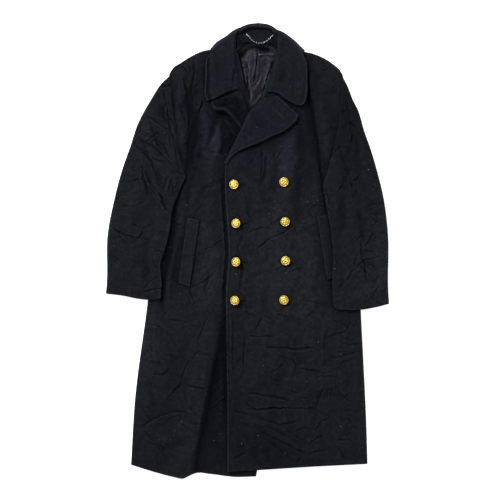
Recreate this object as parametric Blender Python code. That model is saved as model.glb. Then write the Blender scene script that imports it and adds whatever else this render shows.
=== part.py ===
"""A long double-breasted melton overcoat, laid flat on its back with the left front over the right.

Every panel is a thin wall of cloth. Its outline comes from its seam lines, and its height from the layers
that it lies on, its own loft and its largest folds. Left and right are the wearer's: the right front is on
the -X side. X runs across the coat, Y from the hem to the collar, and Z up from the table that it lies on.
The sizes below are millimetres, and MM turns them into metres when a mesh is made.
"""

import math

import bpy
import numpy as np
from mathutils import Vector
from mathutils.bvhtree import BVHTree

MM = 0.001

# Driving dimensions
MELTON = 2.4  # one layer of the heavy wool
FACED = 4.2  # a front edge, where the front and its facing are sewn together
COLLAR_WALL = 3.0  # top collar and under collar together
SATIN = 1.0  # the lining
SEAM = 0.3  # clearance between two sewn pieces
ROLL = 3.5  # how far in from a folded edge the cloth has come up to its own level
EDGE_LEVEL = 0.4  # height of the underside along a folded edge that comes down to the table
INSET = 4.5  # the hidden layer under a folded edge stops this far inside it
ROLL_REACH = 1.2  # how far round a point of a folded edge the layers are looked for
CHORD = 0.1  # extra clearance for the straight sides of the triangles
LEFT_SHOULDER_FREE, RIGHT_SHOULDER_FREE = 158.0, -112.0  # x where the shoulders come out from the collar
CAP_FREE = 425.0  # y below which a sleeve's outer edge is clear of the shoulder
NECK_LEVEL = 8.0  # height of the roll line round the neck
NECK_ROLL = 2.0  # radius of the cloth's bend along that line
COLLAR_LOFT = 5.0  # how far the collar stands off the fronts
LAPEL_LOFT = 3.5  # how far a lapel stands off its front
BUTTON_RADIUS = 12.7
BUTTON_SIDES = 14
CHAIN_RADIUS = 1.5

# Seam lines, as (x, y) points that a smooth curve runs through
RIGHT_SIDE = [(-297, -546), (-287, -381), (-254, -126), (-240, 1), (-231, 129), (-224, 215), (-194, 300),
              (-191, 345), (-197, 420), (-200, 449)]
LEFT_SIDE = [(306, -544), (303, -440), (296, -290), (289, -152), (284, 1), (279, 129), (268, 222), (237, 300),
             (238, 345), (245, 420), (243, 448)]
RIGHT_HEM = [(-297, -546), (-246, -562), (-185, -577), (-163, -580), (-148, -573), (-130, -567), (-93, -570),
             (-30, -577), (22, -576)]
LEFT_HEM = [(-51, -563), (20, -560), (150, -552), (306, -544)]
RIGHT_FRONT_EDGE = [(22, -576), (57, -381), (96, -177), (103, 1), (96, 180), (57, 282), (6, 351), (-12, 393),
                    (-20, 432), (-30, 483), (-40, 510)]
LEFT_FRONT_EDGE = [(-51, -563), (-51, -394), (-54, -175), (-54, -101), (-47, -2), (-52, 78), (-57, 180),
                   (-55, 222), (-40, 253), (-13, 307), (9, 351), (46, 400), (62, 450), (72, 483), (88, 506)]
RIGHT_SHOULDER = [(-40, 510), (-90, 505), (-116, 506), (-142, 496), (-168, 480), (-189, 466), (-200, 449)]
LEFT_SHOULDER = [(88, 506), (142, 500), (160, 503), (181, 497), (215, 478), (233, 463), (243, 448)]
BACK_HEM = [(-291, -536), (0, -552), (301, -535)]
BACK_TOP = [(-196, 444), (-168, 475), (-142, 491), (-90, 500), (-40, 512), (27, 528), (88, 506), (142, 495),
            (181, 492), (215, 473), (239, 443)]
LINING_TOP = [(-52, 500), (-10, 518), (27, 521), (62, 518), (98, 496)]
LINING_RIGHT = [(-6, 338), (-28, 388), (-42, 440), (-52, 500)]
LINING_LEFT = [(24, 338), (64, 388), (82, 440), (98, 496)]
LINING_FOOT = [(-6, 338), (24, 338)]

# Lapels: the roll line, the sewn edge, and the short top edge from the gorge to the point
LEFT_LAPEL_ROLL = [(-59, 226), (-44, 255), (-17, 309), (5, 354), (41, 388)]
LEFT_LAPEL_EDGE = [(-54, 219), (-32, 246), (-12, 258), (29, 274), (59, 289), (85, 300), (106, 313),
                   (126, 334), (130, 344)]
LEFT_LAPEL_TOP = [(41, 388), (60, 391), (77, 394), (97, 375), (116, 358), (130, 344)]
RIGHT_LAPEL_ROLL = [(26, 314), (4, 349), (-10, 392), (-17, 406)]
RIGHT_LAPEL_EDGE = [(4, 290), (-20, 311), (-33, 330), (-48, 348), (-64, 357), (-82, 358), (-91, 367),
                    (-91, 379)]
RIGHT_LAPEL_TOP = [(-17, 406), (-38, 401), (-65, 390), (-91, 379)]
RIGHT_LAPEL_FOOT = [(26, 314), (4, 290)]

# Collar: for each half the roll line, outer edge, front end and the fold over the shoulder
LEFT_COLLAR_ROLL = [(46, 404), (52, 420), (60, 450), (68, 483), (75, 511), (75, 540), (72, 562)]
LEFT_COLLAR_EDGE = [(141, 371), (149, 389), (152, 435), (151, 473), (146, 508)]
LEFT_COLLAR_END = [(46, 404), (79, 399), (94, 387), (116, 375), (130, 370), (141, 371)]
LEFT_COLLAR_FOLD = [(72, 562), (85, 558), (111, 541), (136, 518), (146, 508)]
RIGHT_COLLAR_ROLL = [(-18, 411), (-20, 432), (-27, 483), (-30, 524), (-27, 552), (-18, 567)]
RIGHT_COLLAR_EDGE = [(-103, 380), (-108, 397), (-107, 432), (-104, 486), (-94, 512)]
RIGHT_COLLAR_END = [(-18, 411), (-38, 407), (-65, 396), (-88, 384), (-103, 380)]
RIGHT_COLLAR_FOLD = [(-18, 567), (-25, 565), (-56, 544), (-80, 528), (-94, 512)]
BACK_ROLL_LEFT = [(72, 562), (58, 574), (27, 580)]
BACK_ROLL_RIGHT = [(-18, 567), (-4, 575), (27, 580)]
BACK_FALL_LEFT = [(146, 508), (100, 494), (27, 490)]
BACK_FALL_RIGHT = [(-94, 512), (-50, 496), (27, 490)]
BACK_CENTRE = [(27, 580), (27, 490)]
STAND_TOP = [(-18, 556), (-4, 567), (27, 572), (52, 567), (65, 557)]
STAND_FOOT = [(-24, 527), (27, 522.5), (70, 526)]

# Sleeves: the cap seam over the front, the two folded edges and the cuff
LEFT_CAP = [(240, 447), (237, 400), (232, 345), (227, 302), (211, 232), (191, 165)]
LEFT_SLEEVE_OUTER = [(361, -136), (359, -101), (358, 47), (348, 129), (330, 205), (315, 256), (297, 307),
                     (282, 358), (269, 384), (252, 426), (240, 447)]
LEFT_SLEEVE_INNER = [(219, -140), (216, -83), (218, -4), (214, 34), (207, 79), (191, 165)]
LEFT_CUFF = [(219, -140), (226, -148), (248, -151), (290, -151), (330, -144), (361, -136)]
RIGHT_CAP = [(-196, 448), (-191, 400), (-185, 345), (-180, 302), (-170, 243), (-156, 192)]
RIGHT_SLEEVE_OUTER = [(-361, -110), (-359, -85), (-356, 47), (-340, 129), (-320, 205), (-298, 268),
                      (-280, 322), (-264, 354), (-246, 385), (-221, 424), (-196, 448)]
RIGHT_SLEEVE_INNER = [(-222, -125), (-219, -83), (-221, -28), (-212, -1), (-202, 32), (-190, 105),
                      (-168, 164), (-156, 192)]
RIGHT_CUFF = [(-222, -125), (-251, -126), (-280, -123), (-314, -116), (-361, -110)]

# Welt pockets, as the two long edges of each welt
RIGHT_WELT = {"outer": [(-153, 84), (-176, -83)], "inner": [(-122, 77), (-147, -93)]}
LEFT_WELT = {"inner": [(177, 86), (203, -76)], "outer": [(205, 92), (229, -66)]}

# The largest folds. A ridge has a positive height and a trough a negative one, measured across its line.
FOLD_COLUMNS = ("x0", "y0", "x1", "y1", "width", "height")
RIGHT_FRONT_FOLDS = [
    (-138, 478, -146, 170, 11, -3.2),  # valley beside the sleeve
    (-160, 430, -168, 215, 16, 4.0),  # bank above that valley
    (-83, 335, -106, 262, 7, -2.4),
    (-112, 330, -70, 120, 22, 2.6),
    (-101, -172, -140, -262, 8, -2.2),
    (-140, -262, -205, -385, 8, -2.4),
    (-274, -445, -180, -408, 9, -2.4),
    (-180, -408, -110, -436, 9, -2.0),
    (-235, -300, -150, -330, 24, 2.4),
]
LEFT_FRONT_FOLDS = [
    (158, 392, 190, 178, 8, -3.6),  # valley beside the sleeve
    (176, 400, 208, 200, 14, 4.6),  # bank above that valley
    (134, 335, 136, 130, 13, -2.4),
    (37, 282, 33, 175, 7, -2.2),
    (100, 300, 104, 90, 20, 2.4),
    (-4, -217, 74, -221, 7, -2.4),
    (45, -243, 175, -254, 9, -2.8),
    (198, -190, 188, -285, 10, -2.6),
    (-1, -361, 112, -381, 9, -2.8),
    (-19, -402, 182, -404, 8, -2.2),
    (-42, -418, 78, -444, 14, -3.4),
    (-19, -447, 150, -524, 13, -2.8),
    (80, -330, 250, -330, 34, 2.4),
]
RIGHT_SLEEVE_FOLDS = [
    (-264, 352, -196, 303, 9, -2.2),
    (-284, 300, -224, 250, 9, -2.4),
    (-292, 276, -176, 178, 10, -2.6),
    (-245, 330, -226, 250, 8, -2.2),
    (-330, 120, -250, 40, 22, 2.2),
    (-270, 240, -215, 90, 16, 2.6),
]
LEFT_SLEEVE_FOLDS = [
    (249, 418, 236, 300, 9, -2.4),
    (276, 240, 250, 40, 15, -2.6),
    (300, 200, 300, 20, 18, 2.4),
    (330, -50, 262, -132, 8, -2.0),
    (240, 60, 232, -110, 15, 2.4),
]
LINING_FOLDS = [
    (6, 512, 4, 370, 9, 2.6),  # the pleat down the middle of the back
    (40, 470, 22, 372, 10, 1.6),
    (-14, 497, 66, 500, 9, -1.8),
]
LAPEL_FOLDS = [(-30, 345, -10, 395, 9, -2.0), (-62, 372, -30, 380, 10, 2.4)]

# The roll of the open right skirt, from the lowest closed button down to the hem
SKIRT_ROLL_TOP = (-55, -175)
SKIRT_ROLL_HEM = (-136, -568)
SKIRT_ROLL_HEIGHT = 15.0
SKIRT_ROLL_CREST = 13.0  # how far the crest lies behind the fold's steep side
SKIRT_ROLL_BACK = 52.0  # fall of the long side, towards the side seam
SKIRT_ROLL_FACE = 10.0  # fall of the steep side, towards the opening

BUTTONS = {
    "column": ("right", "left"),
    "x": ((-36, -30, -31, -33), (93, 96, 97, 93)),
    "y": ((168, 69, -29, -127), (174, 73, -26, -126)),
}
CHAIN_ROUTE = [(-5, 553), (2, 543), (11, 535), (22, 530), (33, 528), (45, 532), (54, 538), (60, 546)]

CLOTH = ("navy melton", (0.012, 0.013, 0.018), 0.92, 0.0)
LINING_CLOTH = ("slate satin lining", (0.035, 0.032, 0.045), 0.45, 0.0)
GILT = ("gilt brass", (0.78, 0.52, 0.10), 0.28, 1.0)
STEEL = ("nickelled steel", (0.62, 0.62, 0.60), 0.25, 1.0)


def clear_scene():
    for thing in list(bpy.data.objects):
        bpy.data.objects.remove(thing)


def material_of(finish):
    """The Principled material of a finish: its name, colour, roughness and metallic value."""
    name, colour, roughness, metallic = finish
    made = bpy.data.materials.get(name)
    if made is None:
        made = bpy.data.materials.new(name)
        made.use_nodes = True
        shader = made.node_tree.nodes["Principled BSDF"]
        shader.inputs["Base Color"].default_value = (*colour, 1.0)
        shader.inputs["Roughness"].default_value = roughness
        shader.inputs["Metallic"].default_value = metallic
    return made


def ease(t):
    """Smooth step from 0 to 1 while t goes from 0 to 1."""
    t = np.clip(t, 0.0, 1.0)
    return t * t * (3.0 - 2.0 * t)


def along(points, places):
    """Points of the smooth curve through the given points, at shares of its length."""
    points = np.array(points, float)
    if len(points) == 2:
        return points[0] + np.multiply.outer(places, points[1] - points[0])
    knots = np.concatenate([[0.0], np.cumsum(np.linalg.norm(np.diff(points, axis=0), axis=1))])
    slopes = np.gradient(points, knots, axis=0)
    where = np.asarray(places) * knots[-1]
    k = np.clip(np.searchsorted(knots, where, side="right") - 1, 0, len(points) - 2)
    span = (knots[k + 1] - knots[k])[:, None]
    t = ((where - knots[k]) / span[:, 0])[:, None]
    return (
        points[k] * (1 + 2 * t) * (1 - t) ** 2
        + points[k + 1] * t**2 * (3 - 2 * t)
        + span * t * (1 - t) * (slopes[k] * (1 - t) - slopes[k + 1] * t)
    )


def places(count, size, rolled_start=False, rolled_end=False):
    """Even shares from 0 to 1, with one more close to an edge that is folded over."""
    even = list(np.linspace(0.0, 1.0, count + 1))
    if rolled_start:
        even.insert(1, ROLL / size)
    if rolled_end:
        even.insert(-1, 1.0 - ROLL / size)
    return np.array(even)


def patch(foot, top, start, end, u, v):
    """Grid of (x, y) points between four edges: foot and top run with u, start and end with v."""
    foot, top, start, end = along(foot, u), along(top, u), along(start, v), along(end, v)
    u, v = u[None, :, None], v[:, None, None]
    corners = (1 - u) * (1 - v) * foot[0] + u * (1 - v) * foot[-1] + (1 - u) * v * top[0] + u * v * top[-1]
    return (1 - v) * foot[None] + v * top[None] + (1 - u) * start[:, None] + u * end[:, None] - corners


def folds(x, y, rows):
    """Height that a table of folds adds at each point: a bell across each line, fading out at both ends."""
    total = np.zeros_like(x)
    for row in rows:
        fold = dict(zip(FOLD_COLUMNS, row))
        run = np.array([fold["x1"] - fold["x0"], fold["y1"] - fold["y0"]], float)
        length = np.linalg.norm(run)
        run /= length
        t = ((x - fold["x0"]) * run[0] + (y - fold["y0"]) * run[1]) / length
        across = (x - fold["x0"]) * -run[1] + (y - fold["y0"]) * run[0]
        fade = ease(1.0 - np.abs(2 * t - 1) ** 3)
        total += fold["height"] * np.exp(-((across / fold["width"]) ** 2)) * fade
    return total


def skirt_roll(x, y):
    """Height of the soft roll where the right front swings open below the lowest button."""
    top, hem = np.array(SKIRT_ROLL_TOP, float), np.array(SKIRT_ROLL_HEM, float)
    run = hem - top
    length = np.linalg.norm(run)
    run /= length
    t = ((x - top[0]) * run[0] + (y - top[1]) * run[1]) / length
    side = (x - top[0]) * -run[1] + (y - top[1]) * run[0] + SKIRT_ROLL_CREST
    fall = np.where(side < 0, SKIRT_ROLL_BACK, SKIRT_ROLL_FACE)
    return SKIRT_ROLL_HEIGHT * ease(t / 0.55) * np.exp(-((side / fall) ** 2))


def triangles(rows, columns):
    """Two triangles for each cell of a grid of points, turned up."""
    k = np.arange(rows * columns).reshape(rows, columns)
    a, b, c, d = k[:-1, :-1].ravel(), k[:-1, 1:].ravel(), k[1:, 1:].ravel(), k[1:, :-1].ravel()
    return np.concatenate([np.stack([a, b, c], 1), np.stack([a, c, d], 1)])


def rim(rows, columns):
    """The points round the edge of a grid, in turn."""
    k = np.arange(rows * columns).reshape(rows, columns)
    return np.concatenate([k[0, :-1], k[:-1, -1], k[-1, :0:-1], k[:0:-1, 0]])


def add_object(name, points, faces, finish):
    """A mesh object of these points, in millimetres, with its faces turned outwards."""
    mesh = bpy.data.meshes.new(name)
    mesh.from_pydata((np.asarray(points) * MM).tolist(), [], np.asarray(faces).tolist())
    mesh.materials.append(material_of(finish))
    mesh.shade_smooth()
    mesh.set_sharp_from_angle(angle=math.radians(50))
    made = bpy.data.objects.new(name, mesh)
    bpy.context.scene.collection.objects.link(made)
    return made


def add_wall(name, lower, upper, finish):
    """A closed wall between two grids of points, and what its upper side is for later pieces to lie on."""
    rows, columns = lower.shape[:2]
    count = rows * columns
    face = triangles(rows, columns)
    edge = rim(rows, columns)
    following = np.roll(edge, -1)
    sides = np.concatenate([
        np.stack([edge, following, following + count], 1),
        np.stack([edge, following + count, edge + count], 1),
    ])
    points = np.concatenate([lower.reshape(-1, 3), upper.reshape(-1, 3)])
    faces = np.concatenate([face[:, ::-1], face + count, sides])
    add_object(name, points, faces, finish)
    return BVHTree.FromPolygons(points.tolist(), faces.tolist())


def height_below(x, y, layers, reach):
    """Height of the highest layer under each point, straight below it and within its reach."""
    found = np.zeros_like(x)
    turns = [(0.0, 0.0)]
    if reach is None:
        reach = np.zeros_like(x)
    else:
        turns += [(math.cos(k * math.pi / 4), math.sin(k * math.pi / 4)) for k in range(8)]
    down = Vector((0, 0, -1))
    for index in np.ndindex(x.shape):
        for dx, dy in turns:
            start = Vector((x[index] + dx * reach[index], y[index] + dy * reach[index], 200.0))
            for layer in layers:
                hit = layer.ray_cast(start, down)[0]
                if hit is not None:
                    found[index] = max(found[index], hit.z)
    return found


def smoothed(z):
    """Each inner height drawn halfway towards the mean of its four neighbours."""
    out = z.copy()
    mean = (z[:-2, 1:-1] + z[2:, 1:-1] + z[1:-1, :-2] + z[1:-1, 2:]) / 4
    out[1:-1, 1:-1] = (z[1:-1, 1:-1] + mean) / 2
    return out


# The outer two lines of points along each edge of a panel, and the outermost alone
EDGE_CELLS = {
    "start": (slice(None), slice(0, 2)),
    "end": (slice(None), slice(-2, None)),
    "foot": (slice(0, 2), slice(None)),
    "top": (slice(-2, None), slice(None)),
}
OUTERMOST = {
    "start": (slice(None), 0),
    "end": (slice(None), -1),
    "foot": (0, slice(None)),
    "top": (-1, slice(None)),
}


def settle(x, y, design, layers, reach, rolled):
    """The underside of a panel: its own height where that is free, otherwise just clear of what it lies on.
    Along a rolled edge the last point comes down outside the layers, as far as the table."""
    close = np.full(x.shape, reach)
    outermost = np.zeros(x.shape, bool)
    for edge, comes_down in rolled.items():
        free = comes_down(x, y)
        close[EDGE_CELLS[edge]] = np.where(free[EDGE_CELLS[edge]], ROLL_REACH, close[EDGE_CELLS[edge]])
        outermost[OUTERMOST[edge]] |= free[OUTERMOST[edge]]
    below = height_below(x, y, layers, close)
    rest = np.where(below > 0, below + SEAM + CHORD, 0.0)
    z = np.maximum(design, rest)
    for _ in range(2):
        z = np.maximum(smoothed(z), rest)
    return np.where(outermost, np.maximum(EDGE_LEVEL, rest), z)


def cleared(x, y, z, layers):
    """The underside again, with the corners of any triangle that dips into a layer lifted off it."""
    z = z.copy()
    flat_x, flat_y, flat_z = x.ravel(), y.ravel(), z.ravel()
    corner = triangles(*x.shape)
    shares = [(a / 8, b / 8, (8 - a - b) / 8) for a in range(9) for b in range(9 - a)]
    for _ in range(5):
        rise = np.zeros(flat_z.shape)
        for share in shares:
            at_x, at_y, at_z = (flat[corner] @ share for flat in (flat_x, flat_y, flat_z))
            below = height_below(at_x, at_y, layers, None)
            short = np.where(below > 0, below + SEAM + CHORD - at_z, 0.0)
            for k in range(3):
                np.maximum.at(rise, corner[:, k], short)
        if rise.max() < 0.01:
            break
        flat_z += np.where(rise > 0, rise + CHORD, 0.0)
    return flat_z.reshape(x.shape)


def everywhere(x, y):
    return np.full(x.shape, True)


def beyond_collar(x, y):
    """Where the shoulder is clear of the collar."""
    return (x > LEFT_SHOULDER_FREE) | (x < RIGHT_SHOULDER_FREE)


def below_cap(x, y):
    """Where a sleeve is clear of the shoulder."""
    return y < CAP_FREE


def panel(name, edges, cells, design, layers, wall=MELTON, finish=CLOTH, rolled=None, reach=9.0):
    """One piece of cloth. design gives its underside from x, y, u and v before it settles on the layers."""
    rolled = rolled or {}
    width = np.linalg.norm(np.subtract(edges["foot"][0], edges["foot"][-1])) + 60
    length = np.linalg.norm(np.subtract(edges["start"][0], edges["start"][-1])) + 60
    u = places(cells[1], width, "start" in rolled, "end" in rolled)
    v = places(cells[0], length, "foot" in rolled, "top" in rolled)
    plan = patch(edges["foot"], edges["top"], edges["start"], edges["end"], u, v)
    x, y = plan[..., 0], plan[..., 1]
    u, v = np.meshgrid(u, v)
    z = cleared(x, y, settle(x, y, design(x, y, u, v), layers, reach, rolled), layers)
    thick = wall(x, y, u, v) if callable(wall) else np.full(x.shape, wall)
    lower = np.stack([x, y, z], -1)
    upper = np.stack([x, y, z + thick], -1)
    return add_wall(name, lower, upper, finish)


def collar_half(roll, edge, end, fold, back_roll, back_fall):
    """Plan of one half of the collar: the part that lies on the front, and the part under the back."""
    across = np.linspace(0, 1, 8)
    front = patch(end, fold, roll, edge, across, np.linspace(0, 1, 11))
    under = patch(fold, BACK_CENTRE, back_roll, back_fall, across, np.linspace(0, 1, 7))
    return front, under


def wrapped_half(front, under, top_z):
    """Middle surface of one half of the collar, with a round fold over the shoulder between its two parts."""
    across = np.linspace(0, 1, front.shape[1])
    start = NECK_LEVEL - NECK_ROLL
    low = start + (COLLAR_WALL / 2 - start) * ease(across / 0.22)
    radius = (top_z[-1] - low) / 2
    fold_line = front[-1]
    tangent = np.gradient(fold_line, axis=0)
    normal = np.stack([-tangent[:, 1], tangent[:, 0]], 1)
    normal /= np.linalg.norm(normal, axis=1)[:, None]
    outward = np.sign(np.sum(normal * (fold_line - front[-2]), axis=1))
    normal *= np.where(outward == 0, 1, outward)[:, None]
    rows = []
    for k in range(len(front)):
        draw = ease((k - (len(front) - 4)) / 3.0) * radius
        rows.append(np.column_stack([front[k] - normal * draw[:, None], top_z[k]]))
    for turn in (45, 90, 135):
        angle = math.radians(turn)
        flat = fold_line - normal * (radius * (1 - math.sin(angle)))[:, None]
        rows.append(np.column_stack([flat, low + radius + radius * math.cos(angle)]))
    for k in range(len(under)):
        draw = ease(1 - k / 2.0) * radius
        rows.append(np.column_stack([under[k] - normal * draw[:, None], low]))
    return np.array(rows)


def thickened(middle, wall):
    """Lower and upper grids half a wall to each side of a middle surface."""
    du = np.gradient(middle, axis=1)
    dv = np.gradient(middle, axis=0)
    normal = np.cross(du, dv)
    normal /= np.linalg.norm(normal, axis=2)[..., None]
    return middle - normal * wall / 2, middle + normal * wall / 2


def collar_plans():
    left = collar_half(LEFT_COLLAR_ROLL, LEFT_COLLAR_EDGE, LEFT_COLLAR_END, LEFT_COLLAR_FOLD,
                       BACK_ROLL_LEFT, BACK_FALL_LEFT)
    right = collar_half(RIGHT_COLLAR_ROLL, RIGHT_COLLAR_EDGE, RIGHT_COLLAR_END, RIGHT_COLLAR_FOLD,
                        BACK_ROLL_RIGHT, BACK_FALL_RIGHT)
    return left, right


def back_fall_layer(plans):
    """The upper side of the collar's back part, which lies between the table and the back."""
    layers = []
    for _, under in plans:
        top = np.concatenate([under, np.full((*under.shape[:2], 1), COLLAR_WALL)], -1)
        layers.append(BVHTree.FromPolygons(top.reshape(-1, 3).tolist(), triangles(*under.shape[:2]).tolist()))
    return layers


def add_collar(plans, layers):
    """The collar in one piece: on the left front, over the shoulder, under the back and on to the right front."""
    halves = []
    for front, under in plans:
        across = np.linspace(0, 1, front.shape[1])[None, :]
        x, y = front[..., 0], front[..., 1]
        rest = height_below(x, y, layers, np.full(x.shape, 10.0)) + COLLAR_WALL / 2 + SEAM + 4 * CHORD
        crown = COLLAR_LOFT * np.sin(math.pi * np.clip(across * 0.85, 0, 1)) ** 0.7
        start = NECK_LEVEL + NECK_ROLL
        free = smoothed(smoothed(np.maximum(rest + crown, start)))
        top_z = start + (np.maximum(free, rest) - start) * ease(across / 0.22)
        top_z = np.maximum(top_z, rest)
        halves.append(wrapped_half(front, under, top_z))
    left, right = halves
    middle = np.concatenate([left, right[-2::-1]])
    lower, upper = thickened(middle, COLLAR_WALL)
    return add_wall("collar", lower, upper, CLOTH)


def add_button(name, x, y, z):
    """A domed shank button turned about its own axis, standing on the cloth at z."""
    profile = [(2.6, 0.0), (2.6, 1.6), (11.6, 2.0), (BUTTON_RADIUS, 3.0), (12.3, 4.4), (8.6, 6.4), (4.4, 7.4)]
    turn = np.linspace(0, 2 * math.pi, BUTTON_SIDES, endpoint=False)
    rings = np.array([[(r * math.cos(a), r * math.sin(a), h) for a in turn] for r, h in profile])
    points = np.concatenate([rings.reshape(-1, 3), [(0, 0, 0.0), (0, 0, 7.7)]]) + (x, y, z)
    faces = []
    ring, last = BUTTON_SIDES, len(profile) - 1
    foot, crown = len(points) - 2, len(points) - 1
    for k in range(ring):
        j = (k + 1) % ring
        faces.append((foot, j, k))
        faces.append((crown, last * ring + k, last * ring + j))
        for level in range(last):
            a, b = level * ring + k, level * ring + j
            faces.append((a, b, b + ring))
            faces.append((a, b + ring, a + ring))
    return add_object(name, points, faces, GILT)


def add_chain(layers):
    """The hanger chain as a plain tube on what it lies on, with a small plate at each end."""
    route = along(CHAIN_ROUTE, np.linspace(0, 1, 17))
    level = height_below(route[:, 0], route[:, 1], layers, np.full(len(route), CHAIN_RADIUS))
    for _ in range(2):
        level[1:-1] = np.maximum(level[1:-1], (level[:-2] + level[2:]) / 2)
    z = level + SEAM + CHAIN_RADIUS
    curve = bpy.data.curves.new("hanger_chain", "CURVE")
    curve.dimensions = "3D"
    curve.bevel_depth = CHAIN_RADIUS * MM
    curve.bevel_resolution = 2
    curve.use_fill_caps = True
    spline = curve.splines.new("POLY")
    spline.points.add(len(route) - 1)
    for point, (x, y), height in zip(spline.points, route, z):
        point.co = (x * MM, y * MM, height * MM, 1.0)
    curve.materials.append(material_of(STEEL))
    bpy.context.scene.collection.objects.link(bpy.data.objects.new("hanger_chain", curve))
    for name, end, following in (("chain_plate_right", 0, 1), ("chain_plate_left", -1, -2)):
        way = route[end] - route[following]
        way /= np.linalg.norm(way)
        side = np.array([-way[1], way[0]])
        start = route[end] + way * SEAM
        edges = {
            "start": [start - side * 3, start + way * 8 - side * 3],
            "end": [start + side * 3, start + way * 8 + side * 3],
        }
        edges["foot"] = [edges["start"][0], edges["end"][0]]
        edges["top"] = [edges["start"][1], edges["end"][1]]
        if np.cross(edges["foot"][1] - edges["foot"][0], edges["start"][1] - edges["start"][0]) < 0:
            edges["start"], edges["end"] = edges["end"], edges["start"]
            edges["foot"].reverse()
            edges["top"].reverse()
        panel(name, edges, (2, 2), lambda x, y, u, v: 0 * x, layers, wall=1.2, finish=STEEL, reach=3.0)


def add_sleeve(side, cap, outer, inner, cuff, rows, body):
    """A sleeve as its under sleeve on the body and the table, and its top sleeve folded down over that."""
    if side == "right":
        edges = {"foot": cuff[::-1], "top": cap, "start": outer, "end": inner}
    else:
        edges = {"foot": cuff, "top": cap[::-1], "start": inner, "end": outer}
    inside = inset_edges(edges)
    under = panel(
        f"{side}_under_sleeve", inside, (18, 9), lambda x, y, u, v: np.zeros_like(x), body, reach=15.0
    )

    def top_design(x, y, u, v):
        return 1.6 * np.sin(math.pi * u) * ease((1 - v) / 0.1) + folds(x, y, rows) + 3.4

    def over_under(x, y, u, v):
        base = height_below(x, y, [under], np.full(x.shape, 6.0))
        return base + top_design(x, y, u, v)

    panel(
        f"{side}_top_sleeve",
        edges,
        (22, 12),
        over_under,
        body + [under],
        rolled={"start": below_cap, "end": below_cap},
        reach=10.0,
    )


def inside_seam(seam, shift, first, last):
    """A side of the back: the front's own seam line moved in, between the back's two corners."""
    return [first] + [(x + shift, y) for x, y in seam[1:-1]] + [last]


def inset_edges(edges):
    """The four edges of the layer hidden inside a flattened sleeve, from shares of the sleeve's own plan."""
    share = np.linspace(0, 1, 13)
    u = 0.06 + 0.88 * share
    v = 0.014 + 0.84 * share
    plan = patch(edges["foot"], edges["top"], edges["start"], edges["end"], u, v)
    return {"foot": plan[0], "top": plan[-1], "start": plan[:, 0], "end": plan[:, -1]}


def add_welt(name, start, end, layers):
    """A pocket welt lying on its front, from the front's own surface moved out."""
    edges = {"foot": [start[-1], end[-1]], "top": [start[0], end[0]], "start": start[::-1], "end": end[::-1]}
    return panel(name, edges, (10, 3), lambda x, y, u, v: np.zeros_like(x), layers, reach=5.0)


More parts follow.
